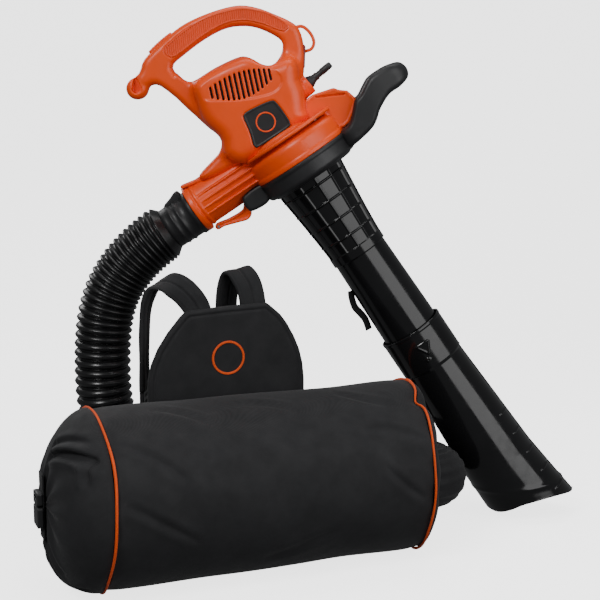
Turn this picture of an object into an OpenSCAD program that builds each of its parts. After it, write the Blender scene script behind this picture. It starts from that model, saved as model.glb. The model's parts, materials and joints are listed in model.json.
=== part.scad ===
// Electric blower and vacuum in its collecting set-up: the blower stands on its suction tube,
// and a bellows hose carries the leaves into a backpack bag that lies on the ground.
// The blower is drawn upright about its impeller axis, and the bag along its own axis.

/* [Blower] */
// Lean of the suction tube from the vertical, in degrees
tilt = 34; // [32:1:35]
// Radius of the fan scroll
scroll_r = 95; // [93:1:97]
// Height of the black half of the scroll
scroll_low_h = 40; // [38:1:42]
// Height of the orange half of the scroll
scroll_high_h = 49; // [47:1:51]
// Width of the motor housing across its two shells
motor_w = 112; // [108:2:116]
// Width of the handle across its two shells
handle_w = 40; // [36:2:44]
// Outer radius of the outlet duct
duct_r = 44; // [42:1:45]

/* [Suction tube] */
// Outer radius of the tube at its neck
neck_r = 52; // [50:1:54]
// Outer radius of the tube at its mouth
mouth_r = 71; // [69:1:73]
// Wall of the moulded tubes
tube_wall = 2.5; // [2:0.5:3]

/* [Bag] */
// Radius of the round bag
bag_r = 150; // [145:1:152]
// Length of the bag between its pipings
bag_len = 558; // [540:2:560]
// Turn of the bag about the vertical, in degrees
bag_yaw = 22; // [21:1:23]

/* [Hose] */
// Outer diameter of the bellows hose
hose_d = 108; // [104:2:110]

/* [Hidden] */
$fn = 64;

gap = 0.3;              // clearance between pieces that pass each other
wall = 3;               // wall of the housing shells
centre = [-42.5, 217.4]; // moves the layout so that the origin is at the middle of the base
blower_at = [22, 0, 638.2];
bag_at = [-65, -280, 148];

scroll_x = 10;          // the scroll's centre is behind the impeller axis
scroll_z = 9;           // underside of the scroll
seam_z = scroll_z + scroll_low_h;
deck_z = seam_z + scroll_high_h;
deck_t = 4;
bore_r = 48;            // opening in the scroll's deck that the motor plate closes

duct_y = 25;            // the outlet leaves the scroll on its far side
duct_z = 80;
duct_end = -213;
adapter_z = 73;
adapter_r = 40;
adapter_end = -273;

flare_r = neck_r + 17;
neck_z = -143;
collar_z = -333;
collar_low = -409;
tube_low = -372;        // end of the upper tube, inside the lower one
tube_low_r = neck_r + 4;
collar_r = tube_low_r + tube_wall + gap + 2.5;
body_r = neck_r + 6;
mouth_z = -774;
lip = 18;               // how much the last stretch of the tube widens

hook_at = [-172, 322];   // hook at the front end of the handle
hook_r = 20;
hook_web = 8;            // thickness left between the two recesses in the hook
plug_at = [88, 0, 152];  // where the power inlet leaves the housing
plug_turn = 84;
plug_r = 13;

shaft_r = 5;
rotor_low = 126;
rotor_high = 174;

hose_r = hose_d / 2;
strap_w = 48;
strap_t = 12;

// Points of the layout frame
function blower_point(x, y, z) = blower_at
    + [x * cos(tilt) - z * sin(tilt), y, x * sin(tilt) + z * cos(tilt)];

// Route of the hose, from the adapter down to the ground behind the bag and round into its sleeve
hose_lead = [blower_point(adapter_end, duct_y, adapter_z),
             blower_point(adapter_end - 34, duct_y, adapter_z)];
hose_route = concat(hose_lead, [
    [-304, 25, 500], [-332, 25, 468], [-355, 25, 430], [-370, 25, 385], [-377, 25, 335],
    [-379, 25, 285], [-378, 25, 235], [-372, 26, 190], [-358, 28, 146], [-333, 32, 108],
    [-298, 38, 80], [-258, 50, 62], [-215, 66, 55], [-165, 86, 55], [-115, 106, 55], [-65, 126, 55],
    [-15, 146, 55], [35, 165, 55], [85, 181, 55], [132, 184, 55], [172, 172, 58], [202, 144, 66],
    [220, 106, 76], [226, 64, 84], [230, 32, 86]]);
sleeve_r = 55;
sleeve_route = [[196, -168, 112], [222, -142, 107], [244, -112, 102], [252, -84, 98], [250, -58, 95],
    [242, -30, 92], [234, 0, 88], [230, 32, 86]];

// Straps of the bag, as distances along, behind and above the middle of the bag
left_route = [[-74, 116, 403], [-80, 116, 434], [-98, 118, 460], [-116, 122, 474], [-132, 130, 477],
    [-147, 138, 468], [-157, 145, 440], [-161, 148, 398], [-162, 150, 338], [-162, 152, 288]];
right_route = [[24, 116, 403], [23, 116, 434], [18, 118, 464], [10, 124, 483], [3, 138, 491],
    [-3, 154, 483], [-8, 164, 458], [-10, 168, 418], [-10, 170, 348], [-10, 172, 285]];
panel_v = 100;
panel_t = 14;
panel_u = -27;
left_depth = 92;        // how far the closed left end of the bag bulges
right_depth = 44;

function unit(v) = v / norm(v);
function tangent(p, i) = unit(p[min(i + 1, len(p) - 1)] - p[max(i - 1, 0)]);
function across(n, t) = unit(n - (n * t) * t);
function sides(p, n, i) = i == 0 ? [across(n, tangent(p, 0))]
    : let (before = sides(p, n, i - 1)) concat(before, [across(before[i - 1], tangent(p, i))]);
function ring(c, n, b, outline) = [for (q = outline) c + q[0] * n + q[1] * b];
function circle_outline(r, count) = [for (i = [0:count - 1]) r * [cos(360 * i / count), sin(360 * i / count)]];
function strap_outline(w, t) = [[w / 2, -t / 6], [w / 2, t / 6], [w / 3, t / 2], [-w / 3, t / 2],
    [-w / 2, t / 6], [-w / 2, -t / 6], [-w / 3, -t / 2], [w / 3, -t / 2]];

// Closed solid of one outline carried along a path
module sweep(path, first_side, outline) {
    n = sides(path, first_side, len(path) - 1);
    m = len(outline);
    last = (len(path) - 1) * m;
    points = [for (i = [0:len(path) - 1])
        for (q = ring(path[i], n[i], cross(tangent(path, i), n[i]), outline)) q];
    lower = [for (i = [0:len(path) - 2]) for (k = [0:m - 1])
        [i * m + k, i * m + (k + 1) % m, (i + 1) * m + (k + 1) % m]];
    upper = [for (i = [0:len(path) - 2]) for (k = [0:m - 1])
        [i * m + k, (i + 1) * m + (k + 1) % m, (i + 1) * m + k]];
    polyhedron(points, concat([[for (k = [m - 1:-1:0]) k]], lower, upper, [[for (k = [0:m - 1]) last + k]]));
}

// Frames of the two halves of the object
module layout() translate([centre[0], centre[1], 0]) children();
module in_blower() layout() translate(blower_at) rotate([0, -tilt, 0]) children();
module in_bag() layout() translate([bag_at[0], bag_at[1], 0]) rotate([0, 0, bag_yaw]) children();

// A flat outline in the blower's side view, made as thick as w across the blower
module slab(w, y = 0) translate([0, y + w / 2, 0]) rotate([90, 0, 0]) linear_extrude(w) children();
module rod(r, x, z, w, y = 0) translate([x, y + w / 2, z]) rotate([90, 0, 0]) cylinder(r = r, h = w);
module lying(r, x0, x1, y, z) translate([x1, y, z]) rotate([0, 90, 0]) cylinder(r = r, h = x0 - x1);
module pipe(r0, r1, z0, z1) translate([0, 0, z0]) cylinder(r1 = r0, r2 = r1, h = z1 - z0);

// ---- Housing -----------------------------------------------------------------------------

module motor_outline() polygon([[-84, 98], [52, 98], [60, 112], [88, 150], [80, 166], [104, 190],
    [98, 216], [63, 218], [25, 260], [-30, 272], [-81, 275], [-103, 201], [-89, 156], [-108, 128]]);

module grip_opening() offset(r = 12) offset(delta = -12)
    polygon([[-95, 321], [-20, 326], [43, 310], [98, 245], [66, 216], [25, 261], [-81, 275]]);

module arch_outline() difference() {
    offset(r = 16) offset(delta = -16)
        polygon([[-130, 310], [-150, 340], [-128, 357], [-36, 368], [64, 343], [112, 290], [136, 246],
            [112, 176], [30, 190], [-100, 190]]);
    grip_opening();
}

module hook_outline() union() {
    translate(hook_at) circle(r = hook_r);
    polygon([[-172, 302], [-120, 300], [-120, 345], [-172, 342]]);
}

module foot_outline() polygon([[-89, 150], [-108, 128], [-152, 124], [-163, 130], [-156, 142], [-112, 150],
    [-96, 172]]);

module housing_form(inset) {
    slab(motor_w - 28 - 2 * inset) offset(delta = -inset) motor_outline();
    slab(motor_w - 2 * inset) offset(delta = -14 - inset) motor_outline();
    slab(handle_w - 2 * inset) offset(delta = -inset) union() {
        arch_outline();
        hook_outline();
        foot_outline();
    }
}

vent_count = 13;
function vent_x(i) = -58 + 8.4 * i;
function vent_len(i) = 15 + 26 * sin(180 * (i + 0.7) / (vent_count + 0.4));

module vents() for (i = [0:vent_count - 1])
    translate([vent_x(i), 0, 234 - 1.2 * i]) rotate([0, 24, 0])
        cube([3.4, motor_w + 4, vent_len(i)], center = true);

module at_plug() translate(plug_at) rotate([0, plug_turn, 0]) children();

module housing_shell() difference() {
    housing_form(0);
    difference() {
        housing_form(wall);
        slab(hook_web) translate(hook_at) circle(r = hook_r - 1);
    }
    for (s = [-1, 1]) slab(handle_w, s * (handle_w + hook_web) / 2) translate(hook_at) circle(r = 8);
    vents();
    lying(duct_r + gap, -40, -230, duct_y, duct_z);
    pipe(bore_r, bore_r, deck_z - 1, deck_z + 30);
    at_plug() cylinder(r = plug_r + gap, h = 60, center = true);
    switch_slot();
    screw_places() cylinder(r = 1.6, h = handle_w + 1, center = true);
}

module screw_places() for (p = [[-112, 338], [-20, 347], [72, 318], [120, 262], [-110, 250], [92, 200]])
    translate([p[0], 0, p[1]]) rotate([90, 0, 0]) children();

module half(side) intersection() {
    housing_shell();
    translate([-250, side > 0 ? 0 : -100, 60]) cube([450, 100, 360]);
}

module housing_right() color("orangered") in_blower() half(-1);
module housing_left() color("orangered") in_blower() half(1);

module grip_band() intersection() {
    difference() {
        offset(delta = -9) polygon([[-112, 330], [-128, 357], [-36, 368], [64, 343], [112, 290], [136, 246],
            [104, 236], [98, 245], [43, 310], [-20, 326]]);
        offset(delta = 7) grip_opening();
    }
    translate([-70, 230]) square([220, 150]);
}

module grip_inlay_right() color("orangered") in_blower() slab(1.2, -handle_w / 2 - 0.6) grip_band();
module grip_inlay_left() color("orangered") in_blower() slab(1.2, handle_w / 2 + 0.6) grip_band();

module badge(side) slab(2, side * (motor_w / 2 + 1)) offset(r = 6) offset(delta = -6)
    polygon([[-35, 177], [27, 163], [29, 114], [-50, 112]]);

module badge_right() color("black") in_blower() badge(-1);
module badge_left() color("black") in_blower() badge(1);

module housing_screws() color("dimgray") in_blower() screw_places()
    translate([0, 0, -handle_w / 2 + 1]) {
        cylinder(r = 1.5, h = handle_w - 6);
        translate([0, 0, handle_w - 6]) cylinder(r = 1.5, h = 3);
    }

module cord_retainer() color("orangered") in_blower() slab(8) difference() {
    polygon([[132, 250], [152, 246], [152, 200], [118, 196], [120, 203], [145, 207], [145, 239], [134, 243]]);
    arch_outline();
}

module retainer_tab() color("darkred") in_blower() slab(14) difference() {
    polygon([[106, 184], [116, 181], [121, 192], [112, 196]]);
    offset(delta = gap) arch_outline();
    motor_outline();
}

module plug_body() color("black") in_blower() at_plug() {
    translate([0, 0, -18]) cylinder(r = plug_r, h = 26);
    translate([0, 0, 8]) cylinder(r1 = plug_r, r2 = 7, h = 12);
    translate([0, 0, 20]) cylinder(r = 7, h = 22);
}

module plug_blades() color("silver") in_blower() at_plug()
    for (y = [-6.35, 6.35]) translate([0, y / 1.6, 49.9]) cube([6.35, 1.5, 15.8], center = true);

// ---- Power switch ------------------------------------------------------------------------

switch_at = [-84, 0, 363.2];
switch_lean = -6.8;
module at_switch() translate(switch_at) rotate([0, switch_lean, 0]) children();
module switch_slot() at_switch() cube([44, 9, 14], center = true);

module power_switch() color("orangered") in_blower() at_switch() {
    translate([-5, 0, 2.6]) cube([46, 24, 3], center = true);
    translate([-5, 0, -3]) cube([14, 8, 12.2], center = true);
    for (x = [-12, 0, 12]) translate([x - 5, 0, 5]) cube([4, 20, 2.2], center = true);
}

module switch_module() color("black") in_blower() at_switch()
    translate([0, 0, -16]) cube([40, 18, 13], center = true);

// ---- Scroll, assist handle and outlet ----------------------------------------------------

module scroll_drum(r, z0, z1) translate([scroll_x, 0, 0]) pipe(r, r, z0, z1);
module duct_way() lying(duct_r - wall, -30, -230, duct_y, duct_z);

module scroll_lower() color("black") in_blower() difference() {
    scroll_drum(scroll_r, scroll_z, seam_z);
    scroll_drum(scroll_r - wall, scroll_z + wall, seam_z + 1);
    pipe(60, 60, scroll_z - 1, scroll_z + wall + 1);
    duct_way();
    lying(duct_r + gap, -70, -230, duct_y, duct_z);
    translate([70, 0, 0]) pipe(3 + gap, 3 + gap, scroll_z - 1, scroll_z + wall + 1);
}

module scroll_upper() color("orangered") in_blower() difference() {
    scroll_drum(scroll_r, seam_z, deck_z);
    scroll_drum(scroll_r - wall, seam_z - 1, deck_z - deck_t);
    pipe(bore_r, bore_r, seam_z, deck_z + 1);
    duct_way();
    lying(duct_r + gap, -70, -230, duct_y, duct_z);
}

module motor_plate() color("dimgray") in_blower() difference() {
    pipe(bore_r - 0.1, bore_r - 0.1, deck_z - deck_t, deck_z + 9);
    pipe(bore_r - 4, bore_r - 4, deck_z, deck_z + 10);
    pipe(11.02, 11.02, deck_z - deck_t + 2, deck_z + 10);
    pipe(7, 7, deck_z - deck_t - 1, deck_z + 10);
}

module assist_outline() polygon([[108, 12], [124, 13], [157, 25], [203, 56], [249, 59], [265, 70],
    [262, 88], [247, 98], [195, 102], [151, 84], [128, 52], [108, 50]]);

module assist_handle() color("black") in_blower() difference() {
    slab(116) offset(r = 5) offset(delta = -5) assist_outline();
    translate([127, -43, 0]) cube([100, 86, 140]);
    scroll_drum(scroll_r + 0.1, 0, 140);
}

module assist_bracket() color("orangered") in_blower() difference() {
    slab(30) polygon([[90, 70], [107, 56], [118, 56], [124, 60], [146, 82], [132, 120], [80, 124], [70, 110]]);
    scroll_drum(scroll_r + 0.1, 0, deck_z + 0.1);
    slab(200) offset(delta = 0.1) motor_outline();
    slab(40) offset(delta = 0.1) assist_outline();
    translate([127, -60, 0]) cube([100, 120, 84]);
}

module outlet_duct() color("orangered") in_blower() difference() {
    union() {
        lying(duct_r, -60, duct_end, duct_y, duct_z);
        lying(duct_r + 4, duct_end + 8, duct_end, duct_y, duct_z - 3);
        for (z = [62, 72, 82, 92]) translate([-150, duct_y - duct_r - 2, z]) cube([62, 8, 2]);
        for (s = [-1, 1]) slab(3, duct_y + s * 11.5) polygon([[-201, 20], [-186, 20], [-178, 48], [-204, 48]]);
    }
    rod(pin_r, lever_at[0], lever_at[1], 30, duct_y);
    scroll_drum(scroll_r + 0.1, 0, 200);
    duct_way();
    translate([-60, -100, deck_z - 60]) cube([100, 300, 160]);
}

module duct_saddle() color("black") in_blower() difference() {
    translate([-129, duct_y - 40, 14]) cube([50, 80, 40]);
    scroll_drum(scroll_r + 0.1, 0, 200);
    lying(duct_r + 0.1, -40, -230, duct_y, duct_z);
}

lever_at = [-193, 26];
pin_r = 2.5;
module latch_pin() color("silver") in_blower() rod(pin_r, lever_at[0], lever_at[1], 26, duct_y);

module latch_lever() color("orangered") in_blower() difference() {
    slab(18, duct_y) union() {
        translate(lever_at) circle(r = 6);
        polygon([[-197, 22], [-142, 4], [-134, 7], [-132, 26], [-192, 32]]);
    }
    rod(pin_r + 0.05, lever_at[0], lever_at[1], 30, duct_y);
    lying(duct_r + gap, -60, -230, duct_y, duct_z);
}

module hose_adapter() color("black") in_blower() difference() {
    union() {
        lying(adapter_r, duct_end, adapter_end, duct_y, adapter_z);
        lying(adapter_r + 4, duct_end, duct_end - 8, duct_y, adapter_z);
    }
    lying(adapter_r - wall, duct_end + 1, adapter_end - 1, duct_y, adapter_z);
}

module adapter_latch() color("black") in_blower() difference() {
    slab(26, duct_y) polygon([[duct_end - 9, 110], [duct_end - 9, 124], [duct_end - 16, 126],
        [duct_end - 44, 116], [duct_end - 44, 110]]);
    lying(adapter_r + 0.1, duct_end + 1, adapter_end - 1, duct_y, adapter_z);
}

// ---- Motor and fan -----------------------------------------------------------------------

module stator() color("gray") in_blower() difference() {
    pipe(41, 41, 124, 176);
    pipe(24, 24, 123, 177);
    for (y = [-1, 1]) translate([-14, y * 31 - 5, 123]) cube([28, 10, 54]);
}

module field_coils() color("peru") in_blower() for (y = [-1, 1])
    translate([-13.5, y * 31 - 4.5, 118]) cube([27, 9, 64]);

module armature() color("darkgoldenrod") in_blower() difference() {
    pipe(22.5, 22.5, rotor_low, rotor_high);
    pipe(shaft_r, shaft_r, rotor_low - 1, rotor_high + 1);
    for (a = [0:30:330]) rotate([0, 0, a]) translate([18, -1, rotor_low - 1]) cube([6, 2, 50]);
}

module commutator() color("chocolate") in_blower() difference() {
    pipe(13, 13, 184, 200);
    pipe(shaft_r, shaft_r, 183, 201);
}

module motor_shaft() color("silver") in_blower() {
    pipe(shaft_r, shaft_r, 22, 222);
}

module brush_pair(x0, size) for (s = [-1, 1]) translate([s * x0, 0, 192]) cube(size, center = true);
module brushes() color("dimgray") in_blower() brush_pair(20.3, [14, 6, 8]);
module brush_springs() color("silver") in_blower() for (s = [-1, 1])
    translate([s * 31.5, 0, 192]) rotate([0, 90, 0]) difference() {
        cylinder(r = 2.8, h = 8, center = true);
        cylinder(r = 2, h = 9, center = true);
    }
module brush_holders() color("goldenrod") in_blower() difference() {
    brush_pair(28, [20, 9, 11]);
    brush_pair(26, [22, 6.2, 8.2]);
}

module bearing(z) difference() {
    pipe(11, 11, z, z + 7);
    pipe(shaft_r + 0.05, shaft_r + 0.05, z - 1, z + 8);
}
module upper_bearing() color("silver") in_blower() bearing(212);
module lower_bearing() color("silver") in_blower() bearing(deck_z - deck_t + 2);

module bearing_bracket() color("dimgray") in_blower() difference() {
    union() {
        pipe(16, 16, 208, 222);
        translate([-10, -44, 208]) cube([20, 88, 5]);
        for (y = [-1, 1]) translate([-10, y * 41.5 - 2.5, 178]) cube([20, 5, 34]);
    }
    pipe(11.02, 11.02, 212, 223);
    pipe(8, 8, 200, 223);
}

module cooling_fan() color("ivory") in_blower() difference() {
    union() {
        pipe(36, 36, 109, 111);
        pipe(9, 9, 107, 117);
        for (a = [0:40:320]) rotate([0, 0, a]) translate([8, -1, 110]) cube([27, 2, 6]);
    }
    pipe(shaft_r, shaft_r, 100, 120);
}

module impeller() color("dimgray") in_blower() difference() {
    union() {
        pipe(74, 74, 78, 82);
        pipe(12, 12, 40, 90);
        for (a = [0:45:315]) rotate([0, 0, a]) translate([11, -1.5, 33]) cube([62, 3, 46]);
    }
    pipe(shaft_r, shaft_r, 20, 100);
}

module impeller_nut() color("silver") in_blower() difference() {
    translate([0, 0, 32]) cylinder(r = 9, h = 8, $fn = 6);
    pipe(shaft_r, shaft_r, 31, 41);
}

// ---- Safety interlock --------------------------------------------------------------------

module interlock_plunger() color("orangered") in_blower() translate([70, 0, 0]) {
    pipe(3, 3, scroll_z + 0.2, 20);
    pipe(5, 5, scroll_z + wall + 0.2, scroll_z + wall + 2.2);
}

module interlock_switch() color("black") in_blower() translate([64, -7, 24]) cube([26, 14, 7]);

// ---- Suction tube ------------------------------------------------------------------------

module upper_tube() color("black") in_blower() difference() {
    union() {
        pipe(neck_r, flare_r, neck_z, scroll_z);
        pipe(neck_r + 3, neck_r + 3, neck_z - 18, neck_z);
        pipe(tube_low_r, neck_r, tube_low, neck_z - 18);
        for (z = [0, -37, -74, -111]) translate([0, 0, z])
            cylinder(r = neck_r + 19 + z * 0.112, h = 2.5);
    }
    pipe(tube_low_r - tube_wall, neck_r - tube_wall, tube_low - 1, neck_z);
    pipe(neck_r - tube_wall, flare_r - tube_wall - 5, neck_z - 0.1, scroll_z + 1);
}

module mouth_cut() rotate([90, 0, 0]) translate([0, 0, -100]) linear_extrude(200)
    polygon([[-90, mouth_z - 10], [-90, -706], [-57, -731.3], [-10, -729], [40, -742], [92, mouth_z],
        [120, mouth_z], [120, mouth_z - 40], [-90, mouth_z - 40]]);

function lower_r(z) = body_r + (mouth_r - body_r) * (collar_low - z) / (collar_low + 660);

module lower_form(inset) {
    pipe(collar_r - inset, collar_r - inset, collar_low + inset, collar_z + inset);
    pipe(mouth_r - inset, body_r - inset, -660, collar_low);
    pipe(mouth_r + lip - inset, mouth_r - inset, mouth_z - 10, -660);
}

module lower_tube() color("black") in_blower() difference() {
    union() {
        lower_form(0);
        for (z = [-560:-44:-736]) translate([50, -14, z]) cube([lower_r(z) + 4 - 50, 28, 3]);
    }
    lower_form(tube_wall);
    pipe(tube_low_r + gap, tube_low_r + gap, collar_low - 30, collar_z + 1);
    pipe(body_r - tube_wall, body_r - tube_wall, collar_low - 40, collar_z + 1);
    mouth_cut();
}

module tether_strap() color("black") in_blower() {
    sweep([[-57, 0, -205], [-63, 0, -216], [-67, 2, -232], [-67, 4, -248], [-66, 5, -264], [-69, 5, -280]],
        [0, 1, 0], strap_outline(14, 2));
}

// ---- Hose --------------------------------------------------------------------------------

module suction_hose() color("black") layout() sweep(hose_route, [0, 1, 0], circle_outline(hose_r, 12));

// ---- Bag ---------------------------------------------------------------------------------

module bag_lie() difference() {
    translate([0, 0, bag_at[2]]) rotate([0, 90, 0]) children();
    translate([-600, -300, -200]) cube([1200, 600, 200]);
}

module bag_body() color("dimgray") in_bag() bag_lie() cylinder(r = bag_r, h = bag_len - 6, center = true);

module piping(side) in_bag() bag_lie() translate([0, 0, side * bag_len / 2])
    cylinder(r = bag_r + 2, h = 6, center = true);
module piping_left() color("orangered") piping(-1);
module piping_right() color("orangered") piping(1);

function dome(r, depth, tip) = concat([[0, 0], [r, 0]],
    [for (a = [10:10:80]) [tip + (r - tip) * cos(a), depth * sin(a)]], [[tip, depth], [0, depth]]);

module bag_left_end() color("dimgray") in_bag() bag_lie() translate([0, 0, -bag_len / 2 - 3])
    mirror([0, 0, 1]) rotate_extrude() polygon(dome(bag_r - 2, left_depth, 60));

module bag_right_end() color("dimgray") in_bag() bag_lie() translate([0, 0, bag_len / 2 + 3])
    rotate_extrude() polygon(dome(bag_r - 4, right_depth, 80));

module bag_sleeve() color("dimgray") difference() {
    layout() sweep(sleeve_route, [0, 0, 1], circle_outline(sleeve_r, 16));
    in_bag() translate([-300, -300, 0]) cube([300 + bag_len / 2 + 3 + right_depth, 600, 300]);
}

module panel_outline() offset(r = 20) offset(delta = -20)
    polygon([[-144, 150], [144, 150], [144, 318], [126, 368], [102, 411], [76, 434], [-76, 434],
        [-92, 411], [-124, 368], [-144, 318]]);

module back_panel() color("dimgray") difference() {
    in_bag() translate([panel_u, panel_v, 0]) slab(panel_t) panel_outline();
    in_bag() bag_lie() cylinder(r = bag_r + gap, h = bag_len + 20, center = true);
}

module panel_emblem() color("orangered") in_bag() translate([panel_u, panel_v - panel_t / 2 - 0.6, 345])
    rotate([90, 0, 0]) difference() {
        cylinder(r = 30, h = 1.2, center = true);
        cylinder(r = 26, h = 2, center = true);
    }

module shoulder_strap(route) in_bag() sweep(route, [1, 0, 0], strap_outline(strap_w, strap_t));
module shoulder_strap_left() color("dimgray") shoulder_strap(left_route);
module shoulder_strap_right() color("dimgray") shoulder_strap(right_route);

module strap_adjusters() color("black") in_bag() for (p = [left_route[9], right_route[9]])
    translate(p + [0, 0, -14]) cube([42, 8, 26], center = true);

// ---- Closure of the bag ------------------------------------------------------------------

closure_u = -bag_len / 2 - 3 - left_depth;
module closure_webbing() color("black") in_bag() translate([closure_u - 1, 0, bag_at[2]])
    cube([2, 30, 110], center = true);
module closure_buckle() color("black") in_bag() translate([closure_u - 7, 0, bag_at[2] - 16])
    difference() {
        cube([10, 36, 34], center = true);
        translate([0, 0, 6]) cube([6.6, 24.6, 26], center = true);
    }
module closure_tongue() color("black") in_bag() translate([closure_u - 7, 0, bag_at[2] + 14]) {
    cube([10, 32, 22], center = true);
    translate([0, 0, -16]) cube([6, 24, 12], center = true);
}

housing_right();
housing_left();
scroll_upper();
scroll_lower();
motor_plate();
assist_handle();
assist_bracket();
grip_inlay_right();
grip_inlay_left();
badge_right();
badge_left();
housing_screws();
cord_retainer();
retainer_tab();
plug_body();
plug_blades();
switch_module();
power_switch();
outlet_duct();
duct_saddle();
latch_pin();
latch_lever();
hose_adapter();
adapter_latch();
stator();
field_coils();
armature();
commutator();
motor_shaft();
brushes();
brush_holders();
brush_springs();
upper_bearing();
lower_bearing();
bearing_bracket();
cooling_fan();
impeller();
impeller_nut();
interlock_switch();
interlock_plunger();
upper_tube();
lower_tube();
tether_strap();
suction_hose();
bag_body();
bag_left_end();
bag_right_end();
piping_left();
piping_right();
bag_sleeve();
back_panel();
panel_emblem();
shoulder_strap_left();
shoulder_strap_right();
strap_adjusters();
closure_webbing();
closure_buckle();
closure_tongue();
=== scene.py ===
"""Leaf blower with its bellows hose and backpack bag: the visible pieces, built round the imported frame.

Shapes are given in millimetres in one of two local frames, the blower's (upright about its impeller
axis, x away from the outlet, y across) and the bag's (x along the bag, y behind it), and make()
turns them into metres in the frame of the CAD model.
"""
import json
import math

import bpy
import numpy as np
from mathutils import Matrix, Vector


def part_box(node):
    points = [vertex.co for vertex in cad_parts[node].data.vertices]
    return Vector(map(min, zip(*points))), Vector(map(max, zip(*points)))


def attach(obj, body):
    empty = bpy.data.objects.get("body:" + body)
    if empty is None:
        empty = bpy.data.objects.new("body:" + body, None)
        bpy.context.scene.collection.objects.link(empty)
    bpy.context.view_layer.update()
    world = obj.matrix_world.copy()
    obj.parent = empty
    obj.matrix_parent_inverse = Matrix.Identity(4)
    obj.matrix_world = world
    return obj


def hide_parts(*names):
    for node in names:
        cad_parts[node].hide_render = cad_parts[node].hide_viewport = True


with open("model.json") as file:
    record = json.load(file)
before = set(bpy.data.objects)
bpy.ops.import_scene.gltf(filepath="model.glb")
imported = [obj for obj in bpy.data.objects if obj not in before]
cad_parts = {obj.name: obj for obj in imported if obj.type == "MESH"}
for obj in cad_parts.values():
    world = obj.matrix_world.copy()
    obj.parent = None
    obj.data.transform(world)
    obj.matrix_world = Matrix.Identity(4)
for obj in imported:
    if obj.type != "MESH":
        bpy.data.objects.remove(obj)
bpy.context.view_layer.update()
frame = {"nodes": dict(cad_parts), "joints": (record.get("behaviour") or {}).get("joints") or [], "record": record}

MM = 0.001
AXIS_MARK = 120            # height on the impeller axis of the point that its joint names
BAG_YAW = math.radians(22)
BAG_HEIGHT = 148           # height of the bag's axis above the ground

joints = {joint["name"]: joint for joint in frame["joints"]}
spin = joints["impeller_spin"]
up = Vector(spin["axis"]).normalized()
fore = Vector((0, 1, 0)).cross(up)
blower_origin = Vector(spin["pos_m"]) - AXIS_MARK * MM * up
bag_low, bag_high = (Vector(corner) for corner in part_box("bag_body"))
bag_origin = (bag_low + bag_high) / 2

BLOWER = Matrix.Translation(blower_origin) @ Matrix((fore, (0, 1, 0), up)).transposed().to_4x4()
BAG = Matrix.Translation((bag_origin.x, bag_origin.y, BAG_HEIGHT * MM)) @ Matrix.Rotation(BAG_YAW, 4, "Z")
GROUND_SHIFT = 22          # how far the layout's middle lies before the blower's origin
GROUND = Matrix.Translation((blower_origin.x - GROUND_SHIFT * MM, blower_origin.y, 0))


# ---- Camera, floor and light ---------------------------------------------------------------

CAMERA_BACK, CAMERA_HEIGHT, CAMERA_TILT = 2.423, 0.8, math.radians(9.05)
FLOOR_HALF, FLOOR_FRONT, FLOOR_BACK, SWEEP_R, WALL_TOP = 7, -6.0, 2.2, 1.6, 6.0
MIDDLE = (0, 0, 0.45)
TUBE_MIDDLE = Vector((0.15, 0.2, 0.35))


def aim(obj, target, upright=(0, 0, 1)):
    """Points a light at a target, with its long side as near to upright as can be."""
    back = (obj.location - Vector(target)).normalized()
    side = Vector(upright).cross(back).normalized()
    obj.rotation_euler = Matrix((side, back.cross(side), back)).transposed().to_euler()


def add_camera():
    camera = bpy.data.objects.new("camera", bpy.data.cameras.new("camera"))
    bpy.context.scene.collection.objects.link(camera)
    camera.location = GROUND.translation + Vector((0, -CAMERA_BACK, CAMERA_HEIGHT))
    camera.rotation_euler = (math.pi / 2 - CAMERA_TILT, 0, 0)
    camera.data.lens = 78
    camera.data.sensor_width = 36
    bpy.context.scene.camera = camera


def add_light(name, location, target, size, power, upright=(0, 0, 1)):
    light = bpy.data.objects.new(name, bpy.data.lights.new(name, "AREA"))
    bpy.context.scene.collection.objects.link(light)
    light.location = location
    light.data.shape = "RECTANGLE"
    light.data.size, light.data.size_y = size
    light.data.energy = power
    aim(light, target, upright)


def add_backdrop():
    """A pale floor that sweeps up into the wall behind the object."""
    side = [(FLOOR_FRONT, 0.0), (FLOOR_BACK, 0.0)]
    side += [(FLOOR_BACK + SWEEP_R * math.sin(a), SWEEP_R - SWEEP_R * math.cos(a))
             for a in np.linspace(0.05, math.pi / 2, 24)]
    side += [(FLOOR_BACK + SWEEP_R, WALL_TOP)]
    points = [(x, y, z) for y, z in side for x in (-FLOOR_HALF, FLOOR_HALF)]
    faces = [(2 * i, 2 * i + 1, 2 * i + 3, 2 * i + 2) for i in range(len(side) - 1)]
    mesh = bpy.data.meshes.new("backdrop")
    mesh.from_pydata(points, [], faces)
    mesh.polygons.foreach_set("use_smooth", [True] * len(faces))
    backdrop = bpy.data.objects.new("backdrop", mesh)
    bpy.context.scene.collection.objects.link(backdrop)
    mat = bpy.data.materials.new("backdrop")
    mat.use_nodes = True
    shader = mat.node_tree.nodes["Principled BSDF"]
    shader.inputs["Base Color"].default_value = (0.9, 0.9, 0.9, 1)
    shader.inputs["Roughness"].default_value = 0.9
    shader.inputs["Emission Color"].default_value = (1, 1, 1, 1)
    shader.inputs["Emission Strength"].default_value = 2.6
    mesh.materials.append(mat)
    backdrop.visible_diffuse = False
    backdrop.visible_glossy = False


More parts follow.
